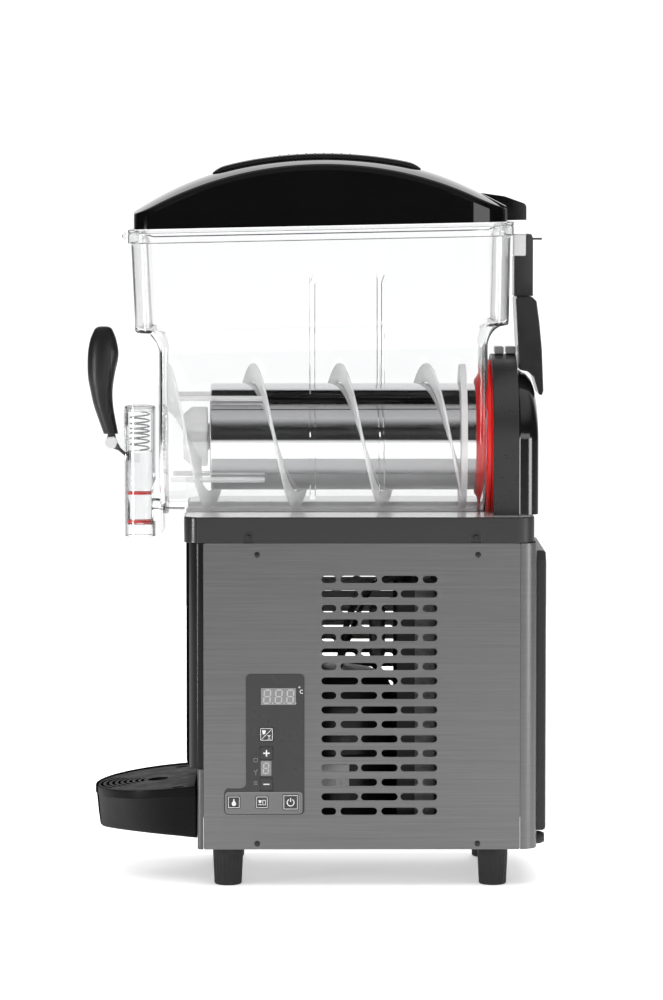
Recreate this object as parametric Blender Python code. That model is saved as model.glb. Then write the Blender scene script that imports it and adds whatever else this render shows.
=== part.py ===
"""Single-bowl frozen drink (slush) machine, modelled as an assembly of separate pieces.

Frame: +Z up, the tap looks along -Y, the control panel is on the +X side. The origin is on the
bench under the middle of the machine. Lengths below are in millimetres; meshes are in metres.
"""
import math

import bmesh
import bpy
from mathutils import Vector
from mathutils.geometry import tessellate_polygon

MM = 0.001
GAP = 0.3                      # clearance between pieces that touch

# Cabinet
HALF_W = 120.0                 # half width over the side panels
PANEL_T = 1.2
PANEL_FRONT, PANEL_REAR = -125.0, 229.5
CABINET_BOTTOM = 42.5
CABINET_TOP = 386.7
FRONT_FLAT_HALF = 98.0         # half width of the bowed middle of the front cover
FRONT_EDGE_Y, FRONT_BOW = -142.0, 5.0
FRONT_COVER_BOTTOM = 133.3
REAR_Y = 249.0
REAR_CORNER_R = 19.0
GLAND_X, GLAND_Z = 88.0, 51.2
DECK_BOTTOM, DECK_TOP = 387.0, 416.0
DECK_FRONT, DECK_REAR = -147.0, 246.0
CHANNEL_HALF, CHANNEL_FLOOR, CHANNEL_END = 52.0, 409.3, 204.2
FOOT_X, FOOT_Y = 95.0, (-98.0, 200.0)
FOOT_HEIGHT, FOOT_R_TOP, FOOT_R_BOTTOM = 42.2, 17.0, 15.5

# Vent slots of the side panels
SLOT_ROWS, SLOT_PITCH, SLOT_TOP_Z = 17, 16.3, 346.4
SLOT_HEIGHT, SLOT_SHORT, SLOT_LONG = 8.2, 16.6, 41.2
VENT_Y0, VENT_Y1 = 7.0, 136.7

# Control panel on the +X side: (centre Y, centre Z, half size)
BUTTONS = {
    "button_mode": (-54.5, 172.5, 7.4),
    "button_plus": (-54.5, 151.3, 7.0),
    "button_minus": (-54.5, 116.3, 7.0),
    "button_lamp": (-91.0, 96.0, 6.8),
    "button_drink": (-59.6, 96.0, 6.8),
    "button_power": (-27.5, 96.0, 8.4),
}
TEMPERATURE_WINDOW = (-60.7, -21.5, 205.5, 224.6)
LEVEL_WINDOW = (-61.0, -49.0, 125.9, 142.7)
FILM_T = 1.0

# Freezing drum, auger and drive, all on one axis along Y
AXIS_Z = 499.0
DRUM_R, DRUM_FRONT, DRUM_REAR = 61.0, -119.0, 203.6
AUGER_R, AUGER_BORE_R = 84.0, 62.8
AUGER_FRONT, AUGER_REAR = -167.0, 168.0
AUGER_PITCH, AUGER_CREST_Y, BLADE_T = 99.0, 29.0, 4.0
HUB_R, HUB_FRONT, HUB_REAR = 34.0, -150.0, -122.6
SHAFT_R = 6.0

# Bowl
TROUGH_R, BOWL_WALL = 89.0, 3.0
BOWL_FRONT, BOWL_REAR = -175.5, 194.0
SHOULDER_Z, SHOULDER_R = 599.0, 23.0
RIM_BOTTOM, RIM_TOP = 725.0, 741.0
BOWL_MOUTH_R = 85.3

# Lid
LID_FRONT, LID_REAR, LID_HALF = -204.0, 217.0, 97.0
LID_BOTTOM, LID_ARC_R, LID_CREST_Z, LID_CREST_Y, LID_CROWN = 741.3, 415.0, 811.0, 6.0, 6.0

# Tap
TAP_Y, TAP_R, TAP_BORE_R = -200.0, 17.8, 15.3
TAP_BOTTOM, TAP_TOP = 385.0, 531.7
TAP_SIDES = 30                 # facets of the tube: none of their edges lies at X = 0
PIVOT_Y, PIVOT_Z = -232.4, 492.6
TIP_Y, TIP_Z, TIP_R = -211.0, 473.5, 1.7
PLUNGER_R, PLUNGER_BOTTOM, PLUNGER_TOP = 14.6, 398.0, 482.6
RING_Z, RING_HEIGHT = (402.0, 434.5), 2.6

# Drip tray
TRAY_REAR, TRAY_STRAIGHT_Y, TRAY_HALF, TRAY_TIP = -133.0, -158.0, 100.0, -251.5
TRAY_BOTTOM, TRAY_TOP, LEDGE_Z = 56.0, 108.0, 102.5

# Refrigeration
LOUVRES, LOUVRE_PITCH = 11, 24.0
FAN_Y, FAN_Z, FAN_R = 161.0, 200.0, 80.0
COMPRESSOR_Y, COMPRESSOR_R, COMPRESSOR_HEIGHT = 26.0, 66.0, 181.0
SUCTION_PIPE_R, DISCHARGE_PIPE_R = 4.0, 3.0
CONDENSER_FRONT, CONDENSER_REAR = 96.0, 134.0


# ---------------------------------------------------------------- helpers
def clear_scene():
    for obj in list(bpy.data.objects):
        bpy.data.objects.remove(obj, do_unlink=True)


def make_material(name, colour, roughness, metallic=0.0, transmission=0.0):
    mat = bpy.data.materials.new(name)
    mat.use_nodes = True
    shader = mat.node_tree.nodes["Principled BSDF"]
    shader.inputs["Base Color"].default_value = (*colour, 1.0)
    shader.inputs["Roughness"].default_value = roughness
    shader.inputs["Metallic"].default_value = metallic
    shader.inputs["Transmission Weight"].default_value = transmission
    return mat


def arc(cu, cv, radius, start, end, steps, squash=1.0):
    """Points on an arc, angles in degrees; squash scales the second coordinate."""
    points = []
    for k in range(steps + 1):
        a = math.radians(start + (end - start) * k / steps)
        points.append((cu + radius * math.cos(a), cv + radius * squash * math.sin(a)))
    return points


def rectangle(u0, u1, v0, v1):
    return [(u0, v0), (u1, v0), (u1, v1), (u0, v1)]


def rounded_rectangle(u0, u1, v0, v1, radius, steps=3):
    r = radius
    return (arc(u1 - r, v0 + r, r, -90, 0, steps) + arc(u1 - r, v1 - r, r, 0, 90, steps)
            + arc(u0 + r, v1 - r, r, 90, 180, steps) + arc(u0 + r, v0 + r, r, 180, 270, steps))


def to_space(axis, u, v, w):
    """Outline (u, v) at height w along the axis: x takes (Y, Z), y takes (X, Z), z takes (X, Y)."""
    if axis == "x":
        return (w, u, v)
    if axis == "y":
        return (u, w, v)
    return (u, v, w)


def add_prism(bm, outline, axis, lo, hi, holes=()):
    loops = [list(outline)] + [list(hole) for hole in holes]
    rings = []
    for loop in loops:
        low = [bm.verts.new(to_space(axis, u, v, lo)) for u, v in loop]
        high = [bm.verts.new(to_space(axis, u, v, hi)) for u, v in loop]
        rings.append((low, high))
        for k in range(len(loop)):
            n = (k + 1) % len(loop)
            bm.faces.new((low[k], low[n], high[n], high[k]))
    if len(loops) == 1:
        bm.faces.new(rings[0][0])
        bm.faces.new(rings[0][1])
        return
    flat = [[Vector((u, v, 0.0)) for u, v in loop] for loop in loops]
    lows = [v for low, _ in rings for v in low]
    highs = [v for _, high in rings for v in high]
    for tri in tessellate_polygon(flat):
        bm.faces.new([lows[i] for i in tri])
        bm.faces.new([highs[i] for i in tri])


def add_box(bm, x0, x1, y0, y1, z0, z1):
    add_prism(bm, rectangle(x0, x1, y0, y1), "z", z0, z1)


def add_lathe(bm, profile, axis, cu, cv, steps=32, closed=False):
    """Turn (radius, height) points round an axis. Points of radius 0 become poles."""
    rings = []
    for radius, height in profile:
        if radius < 1e-6:
            rings.append([bm.verts.new(to_space(axis, cu, cv, height))])
            continue
        ring = []
        for k in range(steps):
            a = 2 * math.pi * k / steps
            u = cu + radius * math.cos(a)
            v = cv + radius * math.sin(a)
            ring.append(bm.verts.new(to_space(axis, u, v, height)))
        rings.append(ring)
    pairs = list(zip(rings, rings[1:]))
    if closed:
        pairs.append((rings[-1], rings[0]))
    for one, two in pairs:
        for k in range(steps):
            n = (k + 1) % steps
            if len(one) == 1:
                bm.faces.new((one[0], two[n], two[k]))
            elif len(two) == 1:
                bm.faces.new((one[k], one[n], two[0]))
            else:
                bm.faces.new((one[k], one[n], two[n], two[k]))


def add_loft(bm, rings):
    """Skin rings of equal length and cap both ends."""
    rows = [[bm.verts.new(point) for point in ring] for ring in rings]
    for one, two in zip(rows, rows[1:]):
        for k in range(len(one)):
            n = (k + 1) % len(one)
            bm.faces.new((one[k], one[n], two[n], two[k]))
    bm.faces.new(rows[0])
    bm.faces.new(rows[-1])


def plan_ring(outline, z):
    return [(u, v, z) for u, v in outline]


def add_pan(bm, plan, z0, z1, floor, wall):
    """Open tray; plan(inset) gives the outline at an inset from the outside."""
    add_loft(bm, [plan_ring(plan(0.0), z0), plan_ring(plan(0.0), z1),
                  plan_ring(plan(wall), z1), plan_ring(plan(wall), z0 + floor)])


def outward(bm):
    bmesh.ops.recalc_face_normals(bm, faces=bm.faces)
    if bm.calc_volume(signed=True) < 0:
        bmesh.ops.reverse_faces(bm, faces=bm.faces)


def make_object(name, bm, material=None, origin=(0, 0, 0), parent=None, smooth=35.0):
    outward(bm)
    shift = Vector(origin)
    for vert in bm.verts:
        vert.co = (vert.co - shift) * MM
    mesh = bpy.data.meshes.new(name)
    bm.to_mesh(mesh)
    bm.free()
    mesh.shade_smooth()
    mesh.set_sharp_from_angle(angle=math.radians(smooth))
    obj = bpy.data.objects.new(name, mesh)
    bpy.context.scene.collection.objects.link(obj)
    obj.location = shift * MM
    if parent:
        obj.parent = parent
        obj.location = shift * MM - parent.location
    if material:
        mesh.materials.append(material)
    return obj


def make_empty(name, location, parent=None):
    """Marks a joint: its place is on the joint's axis."""
    empty = bpy.data.objects.new(name, None)
    bpy.context.scene.collection.objects.link(empty)
    empty.location = Vector(location) * MM
    if parent:
        empty.parent = parent
        empty.location = Vector(location) * MM - parent.matrix_world.translation
    return empty


def make_tool(name, bm):
    tool = make_object(name, bm)
    tool.hide_render = True
    tool.display_type = "WIRE"
    return tool


def combine(obj, tool, operation):
    mod = obj.modifiers.new(tool.name, "BOOLEAN")
    mod.operation = operation
    mod.solver = "EXACT"
    mod.object = tool


def round_corners(points, radii, steps=4):
    """Fillet each corner of an outline with its own radius."""
    out = []
    count = len(points)
    for k, radius in enumerate(radii):
        here = Vector(points[k])
        to_prev = (Vector(points[k - 1]) - here).normalized()
        to_next = (Vector(points[(k + 1) % count]) - here).normalized()
        half = to_prev.angle(to_next) / 2
        centre = here + (to_prev + to_next).normalized() * radius / math.sin(half)
        first = here + to_prev * radius / math.tan(half) - centre
        last = here + to_next * radius / math.tan(half) - centre
        for s in range(steps + 1):
            spoke = first.lerp(last, s / steps).normalized() * radius
            out.append(tuple(centre + spoke))
    return out


# ---------------------------------------------------------------- cabinet
def slot_outline(y_mid, z_mid, length):
    r = SLOT_HEIGHT / 2
    half = length / 2 - r
    return arc(y_mid + half, z_mid, r, -90, 90, 2) + arc(y_mid - half, z_mid, r, 90, 270, 2)


def vent_slots():
    """Rows alternate short-long-long-short and long-long-long, justified to the band."""
    slots = []
    for row in range(SLOT_ROWS):
        lengths = [SLOT_LONG] * 3
        if row % 2 == 0:
            lengths = [SLOT_SHORT, SLOT_LONG, SLOT_LONG, SLOT_SHORT]
        free = (VENT_Y1 - VENT_Y0 - sum(lengths)) / (len(lengths) - 1)
        y = VENT_Y0
        for length in lengths:
            slots.append(slot_outline(y + length / 2, SLOT_TOP_Z - row * SLOT_PITCH, length))
            y += length + free
    return slots


def film_outline(inset=0.0):
    """L-shaped control film: a tall field over a wider bottom strip."""
    d = inset
    corners = [(-102 + d, 82 + d), (-12 - d, 82 + d), (-12 - d, 240 - d),
               (-77.5 + d, 240 - d), (-77.5 + d, 111 - d), (-102 + d, 111 - d)]
    return round_corners(corners, [5, 5, 5, 5, 6, 5], 3)


def build_side_panels(steel_right, steel_left):
    outline = rounded_rectangle(PANEL_FRONT, PANEL_REAR, CABINET_BOTTOM, CABINET_TOP, 2.0, 1)
    bm = bmesh.new()
    add_prism(bm, outline, "x", HALF_W - PANEL_T, HALF_W, vent_slots() + [film_outline(3.0)])
    make_object("side_panel_right", bm, steel_right)
    bm = bmesh.new()
    add_prism(bm, outline, "x", -HALF_W, -HALF_W + PANEL_T, vent_slots())
    make_object("side_panel_left", bm, steel_left)


def bow_outline(flat_half, edge_y, bow, corner_y, half, end_y):
    """Half plan of the front from the +X seam round the corner to the -X seam."""
    points = [(half, end_y)]
    points += [(flat_half + (half - flat_half) * math.cos(math.radians(a)),
                corner_y + (edge_y - corner_y) * math.sin(math.radians(a)))
               for a in range(15, 90, 15)]
    for k in range(9):
        x = flat_half * (1 - k / 4)
        points.append((x, edge_y - bow * (1 - (x / flat_half) ** 2)))
    points += [(-x, y) for x, y in reversed(points[:6])]
    return points


def build_front(cover_mat, apron_mat):
    seam = PANEL_FRONT - GAP
    outer = bow_outline(FRONT_FLAT_HALF, FRONT_EDGE_Y, FRONT_BOW, seam, HALF_W, seam)
    inner = bow_outline(FRONT_FLAT_HALF - 1, FRONT_EDGE_Y + 2.5, FRONT_BOW, seam,
                        HALF_W - 2.5, seam)
    bm = bmesh.new()
    add_prism(bm, outer + inner[::-1], "z", FRONT_COVER_BOTTOM, CABINET_TOP)
    make_object("front_cover", bm, cover_mat)

    front, wall, r = -132.0, 1.5, 5.0
    channel = [(HALF_W, seam)] + arc(HALF_W - r, front + r, r, 0, -90, 3)
    channel += arc(r - HALF_W, front + r, r, 270, 180, 3) + [(-HALF_W, seam)]
    channel += [(wall - HALF_W, seam), (wall - HALF_W, front + wall)]
    channel += [(HALF_W - wall, front + wall), (HALF_W - wall, seam)]
    bm = bmesh.new()
    add_prism(bm, channel, "z", CABINET_BOTTOM, FRONT_COVER_BOTTOM - GAP)
    make_object("front_apron", bm, apron_mat)


def build_base_pan(mat):
    def plan(inset):
        half = HALF_W - PANEL_T - GAP - inset
        return rounded_rectangle(-half, half, PANEL_FRONT + inset, PANEL_REAR - inset, 4.0, 2)
    bm = bmesh.new()
    add_pan(bm, plan, CABINET_BOTTOM + 0.5, 58.0, 1.5, 1.5)
    make_object("base_pan", bm, mat)


def build_rear(panel_mat, cover_mat):
    y0, r, wall = PANEL_REAR + GAP, REAR_CORNER_R, 1.5
    outline = [(HALF_W, y0)] + arc(HALF_W - r, REAR_Y - r, r, 0, 90, 6)
    outline += arc(r - HALF_W, REAR_Y - r, r, 90, 180, 6) + [(-HALF_W, y0)]
    ri = r - wall
    inside = [(HALF_W - wall, y0)] + arc(HALF_W - r, REAR_Y - r, ri, 0, 90, 6)
    inside += arc(r - HALF_W, REAR_Y - r, ri, 90, 180, 6) + [(wall - HALF_W, y0)]
    bm = bmesh.new()
    add_prism(bm, outline + inside[::-1], "z", CABINET_BOTTOM, CABINET_TOP)
    panel = make_object("rear_panel", bm, panel_mat)
    bm = bmesh.new()
    add_prism(bm, rounded_rectangle(-84, 84, 78, 352, 8), "y", REAR_Y - 6, REAR_Y + 6)
    combine(panel, make_tool("rear_window_cutter", bm), "DIFFERENCE")
    bm = bmesh.new()
    add_lathe(bm, [(0, REAR_Y - 6), (5.7, REAR_Y - 6), (5.7, REAR_Y + 6), (0, REAR_Y + 6)],
              "y", GLAND_X, GLAND_Z, 16)
    combine(panel, make_tool("gland_hole_cutter", bm), "DIFFERENCE")

    front, back, wall = REAR_Y + GAP, 260.0, 1.6

    def ring(y, inset, chamfer):
        half, z0, z1 = 96 - inset, 60 + inset, 376 - inset
        return [(-half, y, z0), (half, y, z0), (half, y, z1 - chamfer), (half - chamfer, y, z1),
                (chamfer - half, y, z1), (-half, y, z1 - chamfer)]
    bm = bmesh.new()
    add_loft(bm, [ring(front, 0, 9), ring(back - 4, 0, 9), ring(back, 4, 9)])
    cover = make_object("rear_duct_cover", bm, cover_mat)
    bm = bmesh.new()
    add_loft(bm, [ring(front - 2, wall, 8), ring(back - 4 - wall, wall, 8),
                  ring(back - wall, 4 + wall, 8)])
    combine(cover, make_tool("duct_cavity_cutter", bm), "DIFFERENCE")
    bm = bmesh.new()
    for k in range(LOUVRES):
        z = 92 + k * LOUVRE_PITCH
        add_prism(bm, rounded_rectangle(-78, 78, z, z + 10, 4.8, 2), "y", back - 4, back + 4)
    combine(cover, make_tool("louvre_cutter", bm), "DIFFERENCE")


def build_deck(mat):
    def plan(inset):
        half = HALF_W - inset
        return rounded_rectangle(-half, half, DECK_FRONT + inset, DECK_REAR - inset,
                                 20.0 - inset, 5)
    bm = bmesh.new()
    add_loft(bm, [plan_ring(plan(4.0), DECK_TOP - 12), plan_ring(plan(4.0), DECK_BOTTOM),
                  plan_ring(plan(0.0), DECK_BOTTOM), plan_ring(plan(0.0), DECK_TOP - 1.5),
                  plan_ring(plan(1.5), DECK_TOP)])
    deck = make_object("deck", bm, mat)
    bm = bmesh.new()
    add_box(bm, -CHANNEL_HALF, CHANNEL_HALF, DECK_FRONT - 5, CHANNEL_END, CHANNEL_FLOOR, DECK_TOP + 5)
    for side in (-1, 1):
        for y in (-74.0, 180.0):
            notch = [(y - 5.5, 384.0), (y + 5.5, 384.0)] + arc(y, 395.5, 5.5, 0, 180, 6)
            add_prism(bm, notch, "x", side * (HALF_W - 2), side * (HALF_W + 4))
    combine(deck, make_tool("deck_recess_cutter", bm), "DIFFERENCE")
    bm = bmesh.new()
    add_lathe(bm, [(0, 380), (9, 380), (9, 425), (0, 425)], "z", 60, 226, 16)
    add_lathe(bm, [(0, 380), (9, 380), (9, 425), (0, 425)], "z", -60, 226, 16)
    combine(deck, make_tool("deck_pipe_cutter", bm), "DIFFERENCE")


def build_feet(mat):
    names = ("foot_front_left", "foot_front_right", "foot_rear_left", "foot_rear_right")
    places = [(side * FOOT_X, y) for y in FOOT_Y for side in (-1, 1)]
    for name, (x, y) in zip(names, places):
        bm = bmesh.new()
        profile = [(0, 0), (FOOT_R_BOTTOM - 1, 0), (FOOT_R_BOTTOM, 1.2),
                   (FOOT_R_TOP, FOOT_HEIGHT - 5), (FOOT_R_TOP, FOOT_HEIGHT), (0, FOOT_HEIGHT)]
        add_lathe(bm, profile, "z", x, y, 24)
        make_object(name, bm, mat, origin=(x, y, 0))


# ---------------------------------------------------------------- controls
def build_controls(film_mat, window_mat, board_mat, button_mats):
    x0, x1 = HALF_W + GAP, HALF_W + GAP + FILM_T
    holes = []
    for y, z, half in BUTTONS.values():
        s = half + GAP + 0.1
        holes.append(rectangle(y - s, y + s, z - s, z + s))
    windows = {"temperature_display": TEMPERATURE_WINDOW, "level_display": LEVEL_WINDOW}
    for a, b, c, d in windows.values():
        holes.append(rectangle(a - GAP, b + GAP, c - GAP, d + GAP))
    bm = bmesh.new()
    add_prism(bm, film_outline(), "x", x0, x1, holes)
    make_object("control_panel", bm, film_mat)
    for name, (a, b, c, d) in windows.items():
        bm = bmesh.new()
        add_box(bm, x1 - 8.0, x1, a, b, c, d)
        make_object(name, bm, window_mat)
    for name, (y, z, half) in BUTTONS.items():
        bm = bmesh.new()
        add_loft(bm, [[(x, v, w) for v, w in rectangle(y - s, y + s, z - s, z + s)]
                      for x, s in ((x1 - 6, half - 1), (x1 - 3, half - 1), (x1 - 3, half),
                                   (x1, half), (x1 + 0.3, half - 0.5))])
        make_object(name, bm, button_mats[name], origin=(x1, y, z))

    board_out = 109.6
    bm = bmesh.new()
    add_prism(bm, rectangle(-98, -16, 86, 236), "x", board_out - 1.6, board_out)
    board = make_object("control_board", bm, board_mat)
    bm = bmesh.new()
    for y, z in ((-76, 122), (-19, 122), (-19, 233), (-76, 233)):
        add_box(bm, board_out - 0.8, HALF_W - PANEL_T - GAP, y - 2.5, y + 2.5, z - 2.5, z + 2.5)
    combine(board, make_tool("standoffs", bm), "UNION")


# ---------------------------------------------------------------- drum, auger, drive
def build_drum(steel, bush_mat, gasket_mat):
    wall, hole = 2.0, 10.0
    profile = [(hole, DRUM_FRONT), (DRUM_R - 2.5, DRUM_FRONT), (DRUM_R, DRUM_FRONT + 2.5),
               (DRUM_R, DRUM_REAR), (DRUM_R - wall, DRUM_REAR),
               (DRUM_R - wall, DRUM_FRONT + 3 + wall), (DRUM_R - 3 - wall, DRUM_FRONT + wall),
               (hole, DRUM_FRONT + wall)]
    bm = bmesh.new()
    add_lathe(bm, profile, "y", 0, AXIS_Z, 48, closed=True)
    make_object("freezing_drum", bm, steel, origin=(0, 0, AXIS_Z))

    bore, front = SHAFT_R + GAP, DRUM_FRONT - GAP
    profile = [(bore, front - 2.6), (15, front - 2.6), (15, front), (hole - GAP, front),
               (hole - GAP, front + 14), (bore, front + 14)]
    bm = bmesh.new()
    add_lathe(bm, profile, "y", 0, AXIS_Z, 16, closed=True)
    make_object("shaft_bush", bm, bush_mat, origin=(0, 0, AXIS_Z))

    inner = DRUM_R + GAP
    profile = [(inner, 184.0), (inner + 4, 182.5), (84.4, 194.4), (88.5, 195.6),
               (88.5, 203.6), (inner, 200.0)]
    bm = bmesh.new()
    add_lathe(bm, profile, "y", 0, AXIS_Z, 40, closed=True)
    make_object("bowl_gasket", bm, gasket_mat, origin=(0, 0, AXIS_Z))


def blade_angle(y):
    """The blade's crest is on top at AUGER_CREST_Y and turns down the +X side towards +Y."""
    return math.pi / 2 - 2 * math.pi * (y - AUGER_CREST_Y) / AUGER_PITCH


def build_auger(mat, shaft_mat, joint):
    steps_per_turn = 16
    count = round((AUGER_REAR - AUGER_FRONT) / AUGER_PITCH * steps_per_turn)
    rings = []
    for k in range(count + 1):
        y = AUGER_FRONT + (AUGER_REAR - AUGER_FRONT) * k / count
        inner = AUGER_BORE_R if y > DRUM_FRONT - 12 else HUB_R - 4
        a = blade_angle(y)
        ring = []
        for radius, side in ((inner, -1), (AUGER_R, -0.7), (AUGER_R, 0.7), (inner, 1)):
            ring.append((radius * math.cos(a), y + side * BLADE_T / 2,
                         AXIS_Z + radius * math.sin(a)))
        rings.append(ring)
    bm = bmesh.new()
    add_loft(bm, rings)
    origin = (0, 0, AXIS_Z)
    auger = make_object("auger", bm, mat, origin=origin, parent=joint)

    bm = bmesh.new()
    add_lathe(bm, [(AUGER_BORE_R, 165.0), (AUGER_R - 1, 165.0), (AUGER_R - 1, 172.0),
                   (AUGER_BORE_R, 172.0)], "y", 0, AXIS_Z, 36, closed=True)
    bore = SHAFT_R + GAP
    add_lathe(bm, [(bore, HUB_FRONT), (bore, HUB_REAR), (HUB_R, HUB_REAR),
                   (HUB_R, HUB_FRONT + 10), (HUB_R - 8, HUB_FRONT)],
              "y", 0, AXIS_Z, 24, closed=True)
    combine(auger, make_tool("auger_hub_and_ring", bm), "UNION")

    bm = bmesh.new()
    radius, half, y0, y1 = 65.0, 2.4, -164.0, -57.0
    for quarter in range(4):
        a = math.radians(45 + 90 * quarter)
        out, side = Vector((math.cos(a), 0, math.sin(a))), Vector((-math.sin(a), 0, math.cos(a)))
        mid = Vector((0, 0, AXIS_Z)) + out * radius
        ring = [mid + out * half * i + side * half * j for i, j in ((-1, -1), (1, -1), (1, 1), (-1, 1))]
        add_loft(bm, [[(p.x, y, p.z) for p in ring] for y in (y0, y1)])
    combine(auger, make_tool("auger_bars", bm), "UNION")

    profile = [(0, HUB_FRONT + 1), (SHAFT_R - 1, HUB_FRONT + 1), (SHAFT_R, HUB_FRONT + 2),
               (SHAFT_R, 208.5), (0, 208.5)]
    bm = bmesh.new()
    add_lathe(bm, profile, "y", 0, AXIS_Z, 20)
    make_object("drive_shaft", bm, shaft_mat, origin=origin, parent=joint)


def arch_ring(y, half, top, bottom):
    points = [(half, y, bottom)]
    rise = top - AXIS_Z
    for k in range(13):
        a = math.pi * k / 12
        points.append((half * math.cos(a), y, AXIS_Z + rise * math.sin(a)))
    return points + [(-half, y, bottom)]


def build_rear_housing(housing_mat, motor_mat, arm_mat, lens_mat, block_mat):
    bottom = DECK_TOP + GAP
    bm = bmesh.new()
    shape = ((204, 95, 594), (229, 95, 594), (231, 93, 576), (240, 91, 572), (247, 87, 564),
             (251, 80, 548), (252, 75, 536))
    add_loft(bm, [arch_ring(y, half, top, bottom) for y, half, top in shape])
    housing = make_object("rear_housing", bm, housing_mat)
    bm = bmesh.new()
    cavity = ((207, 91.5, 590), (227, 91.5, 590), (229, 89.5, 573), (240, 87.5, 568),
              (246, 82, 558), (249, 76, 544))
    add_loft(bm, [arch_ring(y, half, top, bottom - 10) for y, half, top in cavity])
    combine(housing, make_tool("housing_cavity_cutter", bm), "DIFFERENCE")
    bm = bmesh.new()
    add_lathe(bm, [(0, 198), (30, 198), (30, 210), (0, 210)], "y", 0, AXIS_Z, 28)
    combine(housing, make_tool("housing_shaft_cutter", bm), "DIFFERENCE")

    bm = bmesh.new()
    add_prism(bm, rounded_rectangle(-46, 46, 445, 545, 8), "y", 209, 241)
    motor = make_object("gear_motor", bm, motor_mat)
    bm = bmesh.new()
    add_lathe(bm, [(0, -80), (14, -80), (16.5, -77), (16.5, -40), (0, -40)], "x", 226, 486, 20)
    combine(motor, make_tool("motor_can", bm), "UNION")

    pads = {"bowl_rest_front": (204.8, 215.4), "bowl_rest_rear": (217.6, 229.0)}
    for name, (y0, y1) in pads.items():
        bm = bmesh.new()
        add_prism(bm, rounded_rectangle(y0, y1, 594 + GAP + 0.1, 602.5, 1.5, 2), "x", -14, 14)
        make_object(name, bm, block_mat)

    hood = [(231.8, 577.0), (227.6, 657.0), (230.0, 660.0), (246.0, 660.0), (251.2, 655.0),
            (259.3, 553.0), (257.6, 548.0), (254.2, 549.0), (248.5, 569.0), (241.0, 575.2)]
    bm = bmesh.new()
    add_prism(bm, hood, "x", -40, 40)
    make_object("rear_hood", bm, arm_mat)

    arm = [(226.5, 660 + GAP), (248.0, 660 + GAP), (248.0, 726.0), (246.0, 730.8), (240.4, 730.8),
           (240.4, 705.6), (226.5, 705.6)]
    bm = bmesh.new()
    add_prism(bm, arm, "x", -22, 22)
    post = make_object("rear_arm", bm, arm_mat)
    bm = bmesh.new()
    add_lathe(bm, [(0, 244), (1.2, 244), (1.2, 259.5), (0, 259.5)], "y", 0, 725, 10)
    combine(post, make_tool("arm_pin", bm), "UNION")
    bm = bmesh.new()
    add_prism(bm, rectangle(226.8, 240.0, 706.0, 730.4), "x", -21.5, 21.5)
    make_object("lamp_contact", bm, lens_mat)


# ---------------------------------------------------------------- bowl and lid
def bowl_stations(inset):
    """(z, half width, front, rear, corner radius) from the bottom of the trough to the rim."""
    radius = TROUGH_R - inset
    front, rear = BOWL_FRONT + inset, BOWL_REAR - inset
    stations = []
    for k in range(8):
        a = math.radians(7 + 83 * k / 7)
        half = radius * math.sin(a)
        stations.append((AXIS_Z - radius * math.cos(a), half, front, rear,
                         min(8.0, 0.7 * half)))
    fillet = SHOULDER_R + inset
    rear_fillet = fillet - 3
    for k in range(6):
        a = math.radians(18 * k)
        step = 1 - math.cos(a)
        stations.append((SHOULDER_Z + fillet * math.sin(a), radius + k, front - fillet * step,
                         rear + rear_fillet * step, 8.0 + 2.4 * k))
    stations.append((SHOULDER_Z + SHOULDER_R + 4, 94 - inset, -202.5 + inset, 218 - inset, 22))
    stations.append((RIM_BOTTOM, 97 - inset, -207 + inset, 220 - inset, 24))
    return stations


def bowl_ring(station):
    z, half, front, rear, radius = station
    return plan_ring(rounded_rectangle(-half, half, front, rear, radius, 3), z)


def build_bowl(mat, joint):
    outside = bowl_stations(0.0)
    rim = [(RIM_BOTTOM + 0.8, 100.5, -210.5, 223.5, 27), (RIM_TOP, 100.5, -210.5, 223.5, 27)]
    inside = bowl_stations(BOWL_WALL)
    inner_rim = [(RIM_TOP, 95.0, -205, 218, 23)]
    stations = outside + rim + inner_rim + inside[::-1]
    bm = bmesh.new()
    add_loft(bm, [bowl_ring(station) for station in stations])
    bowl = make_object("bowl", bm, mat, origin=(0, 0, AXIS_Z), parent=joint)

    bm = bmesh.new()
    add_box(bm, -22, 22, -219, -208.5, 731.5, 735)
    shelf = [(221, 732.5), (258, 732.5), (258, 734.3), (243.5, 739.4), (221, 739.4)]
    add_prism(bm, shelf, "x", -26, 26)
    hook = [(-43, -175.4), (43, -175.4), (43, -147.9), (40, -147.9), (40, -172.6),
            (-40, -172.6), (-40, -147.9), (-43, -147.9)]
    add_prism(bm, hook, "z", 391, 421.3)
    combine(bowl, make_tool("bowl_tabs", bm), "UNION")

    bm = bmesh.new()
    add_lathe(bm, [(0, 187), (BOWL_MOUTH_R, 187), (BOWL_MOUTH_R, 205), (0, 205)],
              "y", 0, AXIS_Z, 48)
    add_lathe(bm, [(0, -184), (7, -184), (7, -168), (0, -168)], "y", 0, 421.6, 14)
    combine(bowl, make_tool("bowl_mouth_cutter", bm), "DIFFERENCE")


def lid_arc(y):
    return LID_CREST_Z - LID_ARC_R + math.sqrt(LID_ARC_R ** 2 - (y - LID_CREST_Y) ** 2)


def lid_crown(x, y):
    return lid_arc(y) + LID_CROWN * (1 - (x / LID_HALF) ** 2)


def lid_section(y, inset, bottom):
    """Inverted U at one station: straight sides, small shoulders and a crowned top."""
    half = LID_HALF - inset
    shoulder = 3.0
    points = [(half, y, bottom), (half, y, lid_arc(y) - inset - shoulder)]
    for k in range(9):
        x = (half - shoulder) * (1 - k / 4)
        points.append((x, y, lid_crown(x, y) - inset))
    points += [(-half, y, lid_arc(y) - inset - shoulder), (-half, y, bottom)]
    return points


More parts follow.
